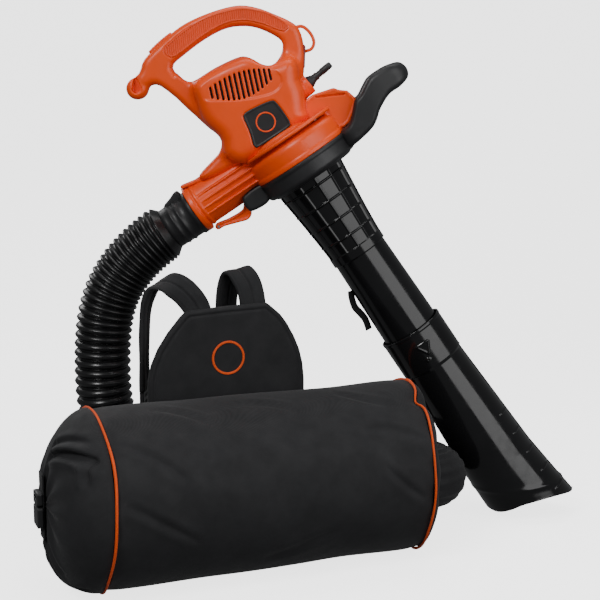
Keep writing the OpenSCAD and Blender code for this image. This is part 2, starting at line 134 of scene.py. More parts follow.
def add_studio():
    """A key light, a large box whose reflection runs down the tube, and two fills."""
    beside_tube = TUBE_MIDDLE + 2.2 * Vector((0.58, -0.72, 0.39))
    add_light("key_light", (-1.5, -2.4, 2.7), MIDDLE, (1.1, 1.1), 62)
    add_light("soft_box", beside_tube, TUBE_MIDDLE, (2.0, 1.7), 26, up)
    add_light("top_light", (0.1, 0.5, 3.0), MIDDLE, (2.2, 1.4), 26)
    add_light("back_light", (-1.8, 2.0, 1.8), MIDDLE, (1.2, 1.2), 16)
    world = bpy.data.worlds.new("studio")
    bpy.context.scene.world = world
    world.use_nodes = True
    world.node_tree.nodes["Background"].inputs["Color"].default_value = (0.93, 0.95, 0.97, 1)
    world.node_tree.nodes["Background"].inputs["Strength"].default_value = 0.17
    add_backdrop()


# ---- Materials -----------------------------------------------------------------------------

def blank_material(name, colour, roughness, **sockets):
    mat = bpy.data.materials.new(name)
    mat.use_nodes = True
    shader = mat.node_tree.nodes["Principled BSDF"]
    shader.inputs["Base Color"].default_value = (*colour, 1)
    shader.inputs["Roughness"].default_value = roughness
    for socket, value in sockets.items():
        shader.inputs[socket.replace("_", " ")].default_value = value
    return mat, mat.node_tree, shader


def node(tree, kind, **values):
    made = tree.nodes.new(kind)
    for key, value in values.items():
        if key in made.inputs:
            made.inputs[key].default_value = value
        else:
            setattr(made, key, value)
    return made


def noise(tree, scale, detail=3.0, stretch=(1, 1, 1), turn=0.0):
    """A noise texture on the object's own coordinates, stretched along its axes."""
    coords = node(tree, "ShaderNodeTexCoord")
    mapping = node(tree, "ShaderNodeMapping")
    mapping.inputs["Scale"].default_value = stretch
    mapping.inputs["Rotation"].default_value = (0, 0, turn)
    tree.links.new(coords.outputs["Object"], mapping.inputs["Vector"])
    made = node(tree, "ShaderNodeTexNoise", Scale=scale, Detail=detail)
    tree.links.new(mapping.outputs["Vector"], made.inputs["Vector"])
    return made.outputs["Fac"]


def waves(tree, period, turn, distortion=0.0):
    """Straight bands, one for each period in metres, across the direction that turn gives."""
    coords = node(tree, "ShaderNodeTexCoord")
    mapping = node(tree, "ShaderNodeMapping")
    mapping.inputs["Rotation"].default_value = turn
    tree.links.new(coords.outputs["Object"], mapping.inputs["Vector"])
    made = node(tree, "ShaderNodeTexWave", Scale=math.tau / 20 / period, Distortion=distortion)
    made.inputs["Detail Scale"].default_value = 2.0
    tree.links.new(mapping.outputs["Vector"], made.inputs["Vector"])
    return made.outputs["Fac"]


def ramp(tree, source, low, high, start=0.3, end=0.7):
    """Maps source onto a range of colours or greys."""
    made = node(tree, "ShaderNodeValToRGB")
    made.color_ramp.elements[0].position = start
    made.color_ramp.elements[1].position = end
    made.color_ramp.elements[0].color = (*low, 1)
    made.color_ramp.elements[1].color = (*high, 1)
    tree.links.new(source, made.inputs["Fac"])
    return made.outputs["Color"]


def mix(tree, kind, a, b, factor=0.5):
    made = node(tree, "ShaderNodeMix", data_type="RGBA", blend_type=kind)
    made.inputs["Factor"].default_value = factor
    tree.links.new(a, made.inputs["A"])
    tree.links.new(b, made.inputs["B"])
    return made.outputs["Result"]


def bump(tree, shader, source, distance, strength=1.0):
    made = node(tree, "ShaderNodeBump", Distance=distance, Strength=strength)
    tree.links.new(source, made.inputs["Height"])
    if shader.inputs["Normal"].links:
        tree.links.new(shader.inputs["Normal"].links[0].from_socket, made.inputs["Normal"])
    tree.links.new(made.outputs["Normal"], shader.inputs["Normal"])


def plastic(name, colour, roughness, grain=0.00004, sheen=0.12, **sockets):
    """Moulded plastic: a little mottling, uneven gloss and the fine grain of the mould."""
    mat, tree, shader = blank_material(name, colour, roughness, **sockets)
    dark = tuple(c * (1 - sheen) for c in colour)
    light = tuple(min(1, c * (1 + sheen)) for c in colour)
    tree.links.new(ramp(tree, noise(tree, 14, 4), dark, light), shader.inputs["Base Color"])
    rough = (max(0.04, roughness - 0.05),) * 3, (roughness + 0.07,) * 3
    tree.links.new(ramp(tree, noise(tree, 60, 5), *rough), shader.inputs["Roughness"])
    bump(tree, shader, noise(tree, 1500, 2), grain, 0.6)
    return mat


def fabric(name, colour, period=0.0011, turn=0.0, depth=0.00012, mottle=0.16):
    """Coated woven cloth: two crossed sets of threads, slubs and faint creases."""
    mat, tree, shader = blank_material(name, colour, 0.78, Sheen_Weight=0.08, Sheen_Roughness=0.4,
                                       Specular_IOR_Level=0.3)
    warp = waves(tree, period, (0, 0, turn), 0.6)
    weft = waves(tree, period, (0, math.pi / 2, turn), 0.6)
    dark = tuple(c * (1 - mottle) for c in colour)
    light = tuple(c * (1 + mottle) for c in colour)
    cloth = ramp(tree, noise(tree, 22, 6), dark, light, 0.25, 0.75)
    threads = ramp(tree, mix(tree, "MULTIPLY", warp, weft, 1.0), (0.8,) * 3, (1.15,) * 3, 0.1, 0.8)
    tree.links.new(mix(tree, "MULTIPLY", cloth, threads, 1.0), shader.inputs["Base Color"])
    tree.links.new(ramp(tree, noise(tree, 35, 4), (0.68,) * 3, (0.86,) * 3), shader.inputs["Roughness"])
    bump(tree, shader, mix(tree, "ADD", warp, weft, 1.0), depth, 0.7)
    bump(tree, shader, noise(tree, 45, 5, (1, 1, 0.5)), 0.0009, 0.35)
    return mat


def metal(name, colour, roughness, brushed=1.0):
    mat, tree, shader = blank_material(name, colour, roughness, Metallic=1.0)
    streaks = noise(tree, 220, 3, (1, 1, 14 * brushed))
    tree.links.new(ramp(tree, streaks, (roughness * 0.7,) * 3, (roughness * 1.4,) * 3),
                   shader.inputs["Roughness"])
    bump(tree, shader, streaks, 0.00003, 0.5)
    return mat


ORANGE = (0.95, 0.078, 0.0)
looks = {
    "orange_shell": plastic("orange_shell", ORANGE, 0.36, sheen=0.05),
    "orange_grip": plastic("orange_grip", (0.85, 0.07, 0.004), 0.5, 0.00008, 0.08),
    "red_tab": plastic("red_tab", (0.22, 0.008, 0.006), 0.45),
    "black_shell": plastic("black_shell", (0.014, 0.014, 0.015), 0.46, 0.00012, 0.2),
    "gloss_black_tube": plastic("gloss_black_tube", (0.006, 0.006, 0.0065), 0.13, 0.00001, 0.2),
    "hose_rubber": plastic("hose_rubber", (0.008, 0.008, 0.0085), 0.3, 0.00006, 0.25),
    "bag_fabric": fabric("bag_fabric", (0.0195, 0.0195, 0.021), turn=BAG_YAW),
    "orange_piping": fabric("orange_piping", (0.9, 0.1, 0.012), 0.0012),
    "black_webbing": fabric("black_webbing", (0.016, 0.016, 0.017), 0.0016, BAG_YAW, 0.0003),
    "buckle_plastic": plastic("buckle_plastic", (0.02, 0.02, 0.021), 0.38, 0.00005),
    "red_plunger": plastic("red_plunger", (0.55, 0.04, 0.02), 0.4),
    "steel": metal("steel", (0.62, 0.62, 0.64), 0.28),
    "motor_steel": metal("motor_steel", (0.3, 0.3, 0.31), 0.45, 2.0),
    "copper": metal("copper", (0.72, 0.36, 0.2), 0.35, 3.0),
    "carbon": plastic("carbon", (0.04, 0.04, 0.04), 0.6, 0.0001),
    "brass": metal("brass", (0.75, 0.56, 0.28), 0.3),
    "fan_plastic": plastic("fan_plastic", (0.09, 0.09, 0.09), 0.42),
    "bracket_metal": metal("bracket_metal", (0.55, 0.56, 0.57), 0.42, 0.3),
}


# ---- Mesh making ---------------------------------------------------------------------------

def make(name, points, faces, where, look, body="root", replaces=()):
    """A piece from points in the local frame's millimetres."""
    mesh = bpy.data.meshes.new(name)
    points = np.asarray(points, float) * MM
    placed = points @ np.array(where.to_3x3()).T + np.array(where.translation)
    mesh.from_pydata(placed.tolist(), [], [tuple(map(int, face)) for face in faces])
    mesh.validate()
    mesh.polygons.foreach_set("use_smooth", [True] * len(mesh.polygons))
    piece = bpy.data.objects.new(name, mesh)
    bpy.context.scene.collection.objects.link(piece)
    mesh.materials.append(looks[look])
    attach(piece, body)
    if replaces:
        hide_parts(*replaces)
    return piece


def grid_faces(rows, columns, wrap_rows=False):
    """Quads of rings of points, ring after ring."""
    faces = []
    for i in range(rows if wrap_rows else rows - 1):
        for k in range(columns):
            a, b = i % rows * columns, (i + 1) % rows * columns
            faces.append((a + k, a + (k + 1) % columns, b + (k + 1) % columns, b + k))
    return faces


def end_caps(rings, count):
    """The two flat faces that close a stack of rings."""
    last = (rings - 1) * count
    return [tuple(range(count - 1, -1, -1)), tuple(range(last, last + count))]


def turns_of(count):
    """Evenly spaced angles round a circle."""
    return np.arange(count) * math.tau / count


def wrapped(angle):
    """The same angle between half a turn each way."""
    return (angle + math.pi) % math.tau - math.pi


def spline(points, count, closed=False):
    """count points evenly spread along a smooth curve through the given ones."""
    p = np.asarray(points, float)
    if closed:
        p = np.vstack([p[-1:], p, p[:2]])
    else:
        p = np.vstack([2 * p[0] - p[1], p, 2 * p[-1] - p[-2]])
    out = []
    for a, b, c, d in zip(p[:-3], p[1:-2], p[2:-1], p[3:]):
        for t in np.linspace(0, 1, 24, endpoint=False):
            out.append(0.5 * (2 * b + (c - a) * t + (2 * a - 5 * b + 4 * c - d) * t * t
                              + (3 * b - a - 3 * c + d) * t ** 3))
    out = np.array(out if closed else out + [p[-2]])
    ring = np.vstack([out, out[:1]]) if closed else out
    run = np.concatenate([[0], np.cumsum(np.linalg.norm(np.diff(ring, axis=0), axis=1))])
    at = np.linspace(0, run[-1], count, endpoint=not closed)
    return np.stack([np.interp(at, run, ring[:, k]) for k in range(p.shape[1])], axis=1)


def frames_along(path, first_side):
    """The tangent and two sides at each point of a path, without twist."""
    tangents = np.gradient(path, axis=0)
    tangents /= np.linalg.norm(tangents, axis=1)[:, None]
    side = np.asarray(first_side, float)
    sides = []
    for tangent in tangents:
        side = side - side.dot(tangent) * tangent
        side /= np.linalg.norm(side)
        sides.append(side)
    sides = np.array(sides)
    return tangents, sides, np.cross(tangents, sides)


def swept(path, side, section):
    """Points and faces of a closed solid. section(i, share) gives a ring of (side, other side).
    side is the section's first direction at the start, or one for each point."""
    if np.ndim(side) == 1:
        _, sides, others = frames_along(path, side)
    else:
        tangents = np.gradient(path, axis=0)
        tangents /= np.linalg.norm(tangents, axis=1)[:, None]
        sides = side - (side * tangents).sum(axis=1)[:, None] * tangents
        sides /= np.linalg.norm(sides, axis=1)[:, None]
        others = np.cross(tangents, sides)
    points = []
    for i, middle in enumerate(path):
        for a, b in section(i, i / (len(path) - 1)):
            points.append(middle + a * sides[i] + b * others[i])
    count = len(points) // len(path)
    return np.array(points), grid_faces(len(path), count) + end_caps(len(path), count)


def band_ring(half_width, half_thick, bevel_width, bevel_thick):
    """The section of a flat band with bevelled corners."""
    w, h = half_width, half_thick
    half = [(w, -(h - bevel_thick)), (w, h - bevel_thick), (w - bevel_width, h)]
    return [(-a, -b) for a, b in half[1:]] + [(w - bevel_width, -h)] + half + [
        (-(w - bevel_width), h), (-w, h - bevel_thick)]


# Fields: each gives the distance to a surface, below zero inside. Points settle on zero.

def outline(x, z, points):
    """Distance to a closed outline."""
    inside = np.zeros(np.broadcast(x, z).shape, bool)
    best = np.full(inside.shape, np.inf)
    for (x0, z0), (x1, z1) in zip(points, np.roll(points, -1, axis=0)):
        dx, dz = x1 - x0, z1 - z0
        t = np.clip(((x - x0) * dx + (z - z0) * dz) / (dx * dx + dz * dz + 1e-9), 0, 1)
        best = np.minimum(best, np.hypot(x - x0 - t * dx, z - z0 - t * dz))
        if z0 != z1:
            inside ^= ((z0 > z) != (z1 > z)) & (x < dx * (z - z0) / dz + x0)
    return np.where(inside, -best, best)


def curved(*points):
    """A closed outline with a smooth curve through its points."""
    return spline(points, 4 * len(points), closed=True)


def slab(flat, y, half, edge):
    """An outline's distance made into a solid of that half thickness with rounded edges."""
    a, b = flat + edge, np.abs(y) - half + edge
    return np.minimum(np.maximum(a, b), 0) + np.hypot(np.maximum(a, 0), np.maximum(b, 0)) - edge


def join(a, b, blend):
    """Both solids as one, with a fillet about as wide as blend where they meet."""
    h = np.clip(0.5 + 0.5 * (b - a) / blend, 0, 1)
    return b * (1 - h) + a * h - blend * h * (1 - h)


def cut(a, b, blend):
    """The first solid without the second."""
    return -join(-a, b, blend)


def bar(x, z, start, end, r0, r1):
    """Distance in the plane to a bar with round ends of two radii."""
    dx, dz = end[0] - start[0], end[1] - start[1]
    t = np.clip(((x - start[0]) * dx + (z - start[1]) * dz) / (dx * dx + dz * dz), 0, 1)
    return np.hypot(x - start[0] - t * dx, z - start[1] - t * dz) - r0 - (r1 - r0) * t


def net(field, low, high, cell):
    """Points and faces of the zero surface of a field, by surface nets."""
    steps = [np.arange(a, b + cell, cell) for a, b in zip(low, high)]
    x, y, z = steps[0][:, None, None], steps[1][None, :, None], steps[2][None, None, :]
    values = np.broadcast_to(field(x, y, z), [len(s) for s in steps]).astype(np.float32)
    cells = [len(s) - 1 for s in steps]
    total = np.zeros((*cells, 3), np.float32)
    count = np.zeros(cells, np.float32)
    crossings = []
    for axis in range(3):
        a = np.moveaxis(values, axis, 0)[:-1]
        b = np.moveaxis(values, axis, 0)[1:]
        crosses = (a < 0) != (b < 0)
        share = np.where(crosses, a / np.where(crosses, a - b, 1), 0)
        crossings.append((crosses, a < 0))
        for du in (0, 1):
            for dv in (0, 1):
                part = crosses[:, du:crosses.shape[1] - 1 + du, dv:crosses.shape[2] - 1 + dv]
                where = share[:, du:share.shape[1] - 1 + du, dv:share.shape[2] - 1 + dv]
                others = [k for k in range(3) if k != axis]
                hit = np.moveaxis(part, 0, axis)
                count += hit
                total[..., axis] += np.moveaxis(where * part, 0, axis)
                total[..., others[0]] += du * hit
                total[..., others[1]] += dv * hit
    active = count > 0
    index = np.full(cells, -1)
    index[active] = np.arange(active.sum())
    points = (np.argwhere(active) + total[active] / count[active][:, None]) * cell + np.array(low)
    faces = []
    for axis, (crosses, rising) in enumerate(crossings):
        inner = crosses[:, 1:-1, 1:-1]
        i, u, v = np.nonzero(inner)
        lookup = np.moveaxis(index, axis, 0)
        corners = ((0, 0), (1, 0), (1, 1), (0, 1))
        quad = np.stack([lookup[i, u + du, v + dv] for du, dv in corners], 1)
        flip = rising[:, 1:-1, 1:-1][inner] == (axis == 1)
        quad[flip] = quad[flip][:, ::-1]
        faces.append(quad)
    return points, np.concatenate(faces)


def settle(field, points, cell, rounds=2):
    """Moves points along the field's slope onto its zero surface."""
    reach = 0.05 * cell
    for _ in range(rounds):
        here = field(*points.T)
        slope = np.stack([field(*(points + reach * axis).T) - here for axis in np.eye(3)], axis=1) / reach
        move = here[:, None] * slope / np.maximum((slope ** 2).sum(axis=1), 0.2)[:, None]
        far = np.linalg.norm(move, axis=1)
        move *= np.minimum(1, 0.5 * cell / np.maximum(far, 1e-9))[:, None]
        points = points - move
    return points


def solid(name, field, low, high, cell, where, look, **options):
    """A piece from a field, looked for in the box from low to high."""
    points, faces = net(field, low, high, cell)
    return make(name, settle(field, points, cell), faces, where, look, **options)


# ---- Hose ----------------------------------------------------------------------------------

HOSE_PEAK, HOSE_VALLEY, HOSE_PITCH = 54, 43.5, 18
ADAPTER_Z, DUCT_Y, ADAPTER_END = 73, 25, -273


def blower_point(x, y, z):
    """A point of the blower's frame, as millimetres in the frame of the layout on the ground."""
    point = GROUND.inverted() @ (BLOWER @ (Vector((x, y, z)) * MM))
    return np.array(point) / MM


HOSE_ROUTE = [
    blower_point(ADAPTER_END, DUCT_Y, ADAPTER_Z), blower_point(ADAPTER_END - 30, DUCT_Y, ADAPTER_Z),
    (-304, 25, 500), (-332, 25, 468), (-355, 25, 430), (-370, 25, 385), (-377, 25, 335),
    (-379, 25, 285), (-378, 25, 235), (-372, 26, 190), (-358, 28, 146), (-333, 32, 108),
    (-298, 38, 80), (-258, 50, 62), (-215, 66, 56), (-115, 106, 55), (-15, 146, 55), (35, 165, 55),
    (85, 181, 55), (132, 184, 55), (172, 172, 58), (202, 144, 66), (220, 106, 76), (226, 64, 84),
    (230, 36, 86)]


def add_hose():
    """A bellows with round ridges, drawn together where it meets the adapter."""
    path = spline(HOSE_ROUTE, 1000)
    steps = np.linalg.norm(np.diff(path, axis=0), axis=1)
    run = np.concatenate([[0], np.cumsum(steps)])
    pitch = HOSE_PITCH - 7 * np.clip(1.6 - run / 200, 0, 1)
    ridges = np.concatenate([[0], np.cumsum(steps / pitch[1:])])
    swell = np.abs(np.cos(math.pi * ridges)) ** 0.8
    ridge = 0.5 + 0.5 * np.cos(math.tau * ridges)
    radius = HOSE_VALLEY + (HOSE_PEAK - HOSE_VALLEY) * np.maximum(ridge, swell * 0.94) ** 0.75
    radius = np.minimum(radius, HOSE_VALLEY - 3 + 0.9 * run)
    angles = turns_of(72)
    circle = np.stack([np.cos(angles), np.sin(angles)], axis=1)
    points, faces = swept(path, (0, 1, 0), lambda i, share: radius[i] * circle)
    hose = make("suction_hose_bellows", points, faces, GROUND, "hose_rubber", replaces=("suction_hose",))
    centres = [GROUND @ (Vector(p) * MM) for p in path[::10]] + [GROUND @ (Vector(path[-1]) * MM)]
    tuple(centres[0])
    [tuple(c) for c in centres]


# ---- Housing -------------------------------------------------------------------------------

MOTOR_HALF, HANDLE_HALF, SHELL_GAP, HOUSING_WALL = 56, 20, 0.5, 5
MOTOR = curved((-84, 98), (-30, 96), (52, 98), (66, 118), (81, 148), (84, 166), (96, 190), (92, 210),
               (62, 220), (44, 238), (26, 256), (-28, 268), (-78, 268), (-93, 236), (-100, 200), (-93, 160),
               (-104, 128))
ARCH_OUT = curved((-132, 298), (-146, 320), (-143, 343), (-128, 356), (-84, 364), (-36, 367), (16, 358),
                  (64, 341), (92, 318), (114, 288), (130, 262), (135, 242), (126, 214), (108, 186),
                  (84, 168), (20, 186), (-80, 186), (-96, 196), (-110, 226), (-120, 262))
GAP = curved((-95, 300), (-93, 317), (-70, 321), (-20, 323), (22, 318), (52, 304), (74, 284), (92, 254),
             (94, 238), (80, 223), (60, 216), (45, 226), (32, 250), (16, 263), (-30, 271), (-72, 273),
             (-88, 280))
STRUT = curved((-128, 300), (-122, 270), (-112, 225), (-100, 190), (-91, 168), (-94, 150), (-110, 140),
               (-140, 133), (-165, 127), (-170, 119), (-150, 110), (-110, 104), (-80, 110), (-84, 170),
               (-78, 230), (-86, 300))
HOOK_AT, HOOK_R = (-171, 320), 20
VENT = curved((-76, 245), (-44, 251), (4, 247), (32, 230), (54, 200), (50, 182), (28, 180), (-14, 197),
              (-48, 218), (-70, 233))
BADGE = curved((-31, 172), (-12, 171), (20, 165), (27, 158), (29, 134), (28, 112), (20, 107), (-14, 107),
               (-44, 108), (-50, 114), (-42, 140), (-37, 166))
GRIP = curved((-86, 330), (-62, 328), (-20, 330), (26, 326), (60, 311), (84, 288), (104, 260), (114, 253),
              (122, 262), (110, 289), (94, 310), (66, 333), (22, 350), (-20, 357), (-62, 355), (-90, 349))
EMBLEM_AT, EMBLEM_R = (-8, 138), 17
PLUG_AT, PLUG_TURN = (88, 152), math.radians(84)
SIDES_OF_HOUSING = ((-1, "near", "right"), (1, "far", "left"))
SLOT_COUNT, SLOT_STEP, SLOT_LEAN = 13, 8.8, math.radians(22)


def vent_slots(x, z):
    """Distance to the row of slanted slots."""
    best = np.full(np.broadcast(x, z).shape, np.inf)
    for i in range(SLOT_COUNT):
        bottom = (-60 + SLOT_STEP * i, 236 - 2.6 * i - 4 * math.sin(math.pi * i / SLOT_COUNT))
        length = 11 + 34 * math.sin(math.pi * (i + 0.9) / (SLOT_COUNT + 0.8))
        half = (0.5 * length * math.sin(SLOT_LEAN), 0.5 * length * math.cos(SLOT_LEAN))
        start = (bottom[0] - half[0], bottom[1] - half[1])
        end = (bottom[0] + half[0], bottom[1] + half[1])
        best = np.minimum(best, bar(x, z, start, end, 2.0, 2.0))
    return best


def housing_field(x, y, z):
    """Both shells as one: the round motor cover, the arched handle, its strut and its hook."""
    motor = outline(x, z, MOTOR)
    arch = np.maximum(outline(x, z, ARCH_OUT), -outline(x, z, GAP))
    strut = outline(x, z, STRUT)
    hook = np.hypot(x - HOOK_AT[0], z - HOOK_AT[1]) - HOOK_R
    neck = bar(x, z, (-150, 326), (-124, 330), 15, 20)
    gap = outline(x, z, GAP)
    body = slab(motor, y, MOTOR_HALF, 26)
    handle = slab(join(np.minimum(arch, strut), join(hook, neck, 8), 10), y, HANDLE_HALF, 13)
    form = cut(join(body, handle, 16), slab(gap, y, 90, 3), 5)
    eye = bar(x, z, HOOK_AT, (-164, 334), 9, 4)
    form = cut(form, slab(eye, np.abs(y) - HANDLE_HALF, HANDLE_HALF - 5, 1), 2.5)
    dish = slab(outline(x, z, VENT) - 5, np.abs(y) - MOTOR_HALF, 2.2, 2)
    form = cut(form, dish, 3)
    form = cut(form, slab(vent_slots(x, z), np.abs(y) - MOTOR_HALF, 16, 1), 1)
    form = cut(form, slab(outline(x, z, BADGE) - 1.0, np.abs(y) - MOTOR_HALF, 1.6, 1), 1.5)
    form = cut(form, slab(outline(x, z, GRIP) - 0.8, np.abs(y) - HANDLE_HALF, 1.4, 1), 1.5)
    along = (x - PLUG_AT[0]) * math.sin(PLUG_TURN) + (z - PLUG_AT[1]) * math.cos(PLUG_TURN)
    off = (x - PLUG_AT[0]) * math.cos(PLUG_TURN) - (z - PLUG_AT[1]) * math.sin(PLUG_TURN)
    collar = np.hypot(np.hypot(off, y) - 17, np.maximum(np.abs(along + 8) - 14, 0)) - 3
    form = join(form, collar, 4)
    form = cut(form, np.maximum(np.hypot(off, y) - 14, -along - 12), 1)
    return cut(form, slab(motor + HOUSING_WALL, y, MOTOR_HALF - HOUSING_WALL, 22), 1)


def add_housing():
    """Two shells that meet on the middle plane; the far one mirrors the near one."""
    def shell(x, y, z):
        return np.maximum(housing_field(x, y, z), y + SHELL_GAP / 2)

    points, faces = net(shell, (-196, -60, 92), (142, 3, 372), 1.8)
    points = settle(shell, points, 1.8)
    make("housing_shell_near", points, faces, BLOWER, "orange_shell", replaces=("housing_right",))
    mirrored = points * (1, -1, 1)
    make("housing_shell_far", mirrored, [face[::-1] for face in faces], BLOWER, "orange_shell",
         replaces=("housing_left",))


def add_grips():
    """Finely ribbed panels let into both sides of the handle, with a plain raised border."""
    def field(x, y, z):
        flat = outline(x, z, GRIP)
        border = slab(np.abs(flat + 1.4) - 1.2, np.abs(y) - HANDLE_HALF + 0.6, 1.6, 0.6)
        ribs = 0.7 * np.cos(math.tau * (x - 0.55 * z) / 4.4)
        panel = np.maximum(flat + 2.0, np.abs(np.abs(y) - HANDLE_HALF + 1.0) - 1.3 - ribs)
        return np.minimum(border, panel)

    for side, word, old in SIDES_OF_HOUSING:
        low, high = sorted((side * 16.0, side * 23.0))
        solid(f"grip_panel_{word}", field, (-92, low, 250), (126, high, 358), 0.8, BLOWER, "orange_grip",
              replaces=(f"grip_inlay_{old}",))


def add_badges():
    """A plain dark plate with a raised border and a ring in the middle."""
    def field(x, y, z):
        flat = outline(x, z, BADGE)
        dip = 0.7 * np.clip((-flat - 3) / 1.2, 0, 1)
        return slab(flat, np.abs(y) - MOTOR_HALF + 0.6 + dip, 1.6, 1.0)

    def ring(x, y, z):
        from_ring = np.abs(np.hypot(x - EMBLEM_AT[0], z - EMBLEM_AT[1]) - EMBLEM_R)
        return slab(from_ring - 1.4, np.abs(y) - MOTOR_HALF + 0.3, 1.1, 0.5)

    for side, word, old in SIDES_OF_HOUSING:
        low, high = sorted((side * 52.0, side * 60.0))
        solid(f"badge_plate_{word}", field, (-58, low, 100), (36, high, 180), 1.2, BLOWER, "black_shell",
              replaces=(f"badge_{old}",))
        solid(f"badge_ring_{word}", ring, (-30, low, 116), (14, high, 160), 0.7, BLOWER, "orange_shell")


def add_painted_shade_block():
    """Painted shade: a black block in the hollow behind the vent slots that stands in for the shaded inside of the
    housing and its motor, and stops the view through the slots.
    """
    def field(x, y, z):
        return slab(outline(x, z, VENT) - 6, y, MOTOR_HALF - 10.5, 4)

    # this black block is painted shade for the housing's shaded inside, seen through the vent slots
    solid("painted_shade_vent_block", field, (-92, -50, 162), (70, 50, 268), 3, BLOWER, "black_shell")


def add_inlet():
    """The short power inlet with its flared collar."""
    count = 48
    rings = [(-16, 12.5), (4, 12.8), (8, 12.8), (20, 7.6), (24, 6.8), (27, 7.8), (30, 6.8), (33, 7.8),
             (36, 6.8), (39, 8.2), (56, 7.6), (60, 6.6), (61, 4.0)]
    points = []
    for along, radius in rings:
        for a in turns_of(count):
            u, v = radius * math.cos(a), radius * math.sin(a) * (0.82 if along > 28 else 1)
            points.append((PLUG_AT[0] + along * math.sin(PLUG_TURN) + v * math.cos(PLUG_TURN), u,
                           PLUG_AT[1] + along * math.cos(PLUG_TURN) - v * math.sin(PLUG_TURN)))
    faces = grid_faces(len(rings), count) + end_caps(len(rings), count)
    make("power_inlet_body", points, faces, BLOWER, "black_shell", replaces=("plug_body",))


def add_retainer():
    """The thin loop that holds the extension lead, and the dark red tab under it."""
    path = spline([(120, 0, 250), (131, 0, 249), (143, 0, 243), (148, 0, 226), (145, 0, 209), (134, 0, 201),
                   (118, 0, 205)], 60)
    ring = band_ring(4, 3, 0.6, 0.8)
    points, faces = swept(path, (0, 1, 0), lambda i, share: ring)
    make("cord_retainer_loop", points, faces, BLOWER, "orange_shell", replaces=("cord_retainer",))

    def tab(x, y, z):
        return slab(bar(x, z, (103, 184), (122, 212), 4.5, 5.5), y, 13, 3)

    solid("retainer_red_tab", tab, (90, -18, 174), (132, 18, 222), 1.2, BLOWER, "red_tab",
          replaces=("retainer_tab",))


SWITCH_AT, SWITCH_LEAN = (-89, 363.5), math.radians(6.8)


def add_switch():
    """The slide switch: a low cap with grip ridges that follows the handle's top."""
    def field(x, y, z):
        u = (x - SWITCH_AT[0]) * math.cos(SWITCH_LEAN) + (z - SWITCH_AT[1]) * math.sin(SWITCH_LEAN)
        w = (z - SWITCH_AT[1]) * math.cos(SWITCH_LEAN) - (x - SWITCH_AT[0]) * math.sin(SWITCH_LEAN)
        top = 4.4 - 0.0022 * u * u + 0.5 * np.cos(math.tau * u / 5) * (np.abs(u) < 15) - 0.006 * y * y
        return slab(slab(np.abs(u) - 27, y, 11.5, 6), w - (top - 6) / 2, (top + 6) / 2, 1.4)

    solid("power_switch_slider", field, (-124, -16, 350), (-54, 16, 376), 1.0, BLOWER, "orange_shell",
          body="switch_slider", replaces=("power_switch",))


# ---- Scroll, assist handle and outlet --------------------------------------------------------

SCROLL_X, SCROLL_R, SCROLL_LOW, SEAM, SCROLL_TOP = 10, 95, 9, 45, 89
ROOM_LOW, ROOM_WALL, SHOULDER = 11, 4, 16
MOTOR_BORE_R, INLET_R = 46, 57
DUCT_R, DUCT_Z, DUCT_END = 44, 80, -213


def duct_field(x, y, z, radius, start, end):
    """A round duct along x, from start to end."""
    out = np.hypot(y - DUCT_Y, z - DUCT_Z) - radius
    return np.maximum(out, np.abs(x - (start + end) / 2) - abs(start - end) / 2)


def rotor_room(x, y, z):
    """The round space that the impeller turns in, one wall inside the drum."""
    middle, half = (ROOM_LOW + SCROLL_TOP) / 2, (SCROLL_TOP - ROOM_LOW) / 2
    return slab(np.hypot(x - SCROLL_X, y) - SCROLL_R + 1.5, z - middle, half, SHOULDER) + ROOM_WALL


def scroll_upper_field(x, y, z):
    """A bulged ring under a thin deck that overhangs it, with the start of the outlet."""
    flat = np.hypot(x - SCROLL_X, y)
    drum = slab(flat - SCROLL_R + 1.5, z - (SEAM + SCROLL_TOP) / 2, (SCROLL_TOP - SEAM) / 2, SHOULDER)
    belt = slab(flat - SCROLL_R + 0.5, z - (SEAM + 4), 4, 1.2)
    deck = slab(flat - SCROLL_R - 1, z - 95.5, 3.2, 2)
    cone = slab(np.hypot(x + 4, (y - 3) * 1.06) - 70, z - 100, 7, 5)
    form = join(join(drum, belt, 5), deck, 4)
    form = join(form, cone, 8)
    duct = duct_field(x, y, z, DUCT_R - 1, -64, -100)
    form = np.maximum(join(form, duct, 12), MOTOR_BORE_R - np.hypot(x, y))
    return cut(cut(form, rotor_room(x, y, z), 1), duct_field(x, y, z, DUCT_R - 4, -40, -120), 1)


def scroll_lower_field(x, y, z):
    """A plain ring under the seam, with the round inlet in its foot."""
    flat = np.hypot(x - SCROLL_X, y)
    drum = slab(flat - SCROLL_R + 0.5, z - (SCROLL_LOW + SEAM) / 2, (SEAM - SCROLL_LOW) / 2 - 0.3, 9)
    belt = slab(flat - SCROLL_R - 1.2, z - (SEAM - 3.6), 3.3, 1.2)
    foot = slab(flat - SCROLL_R + 14, z - SCROLL_LOW - 1, 4, 2.5)
    form = join(join(drum, belt, 3), foot, 5)
    return cut(np.maximum(form, INLET_R - np.hypot(x, y)), rotor_room(x, y, z), 1)


def add_scroll():
    """The orange upper half and the black lower half."""
    solid("scroll_upper_shell", scroll_upper_field, (-104, -100, 42), (110, 100, 112), 2.0, BLOWER,
          "orange_shell", replaces=("scroll_upper",))
    solid("scroll_lower_shell", scroll_lower_field, (-92, -102, 2), (112, 102, 50), 2.0, BLOWER,
          "black_shell", replaces=("scroll_lower",))


ASSIST_HALF = 58
ASSIST = curved((84, 12), (107, 14), (143, 20), (160, 28), (178, 42), (205, 54), (230, 55), (253, 61),
                (263, 74), (258, 88), (246, 96), (225, 101), (194, 101), (176, 93), (160, 84), (146, 80),
                (128, 62), (112, 50), (88, 47))


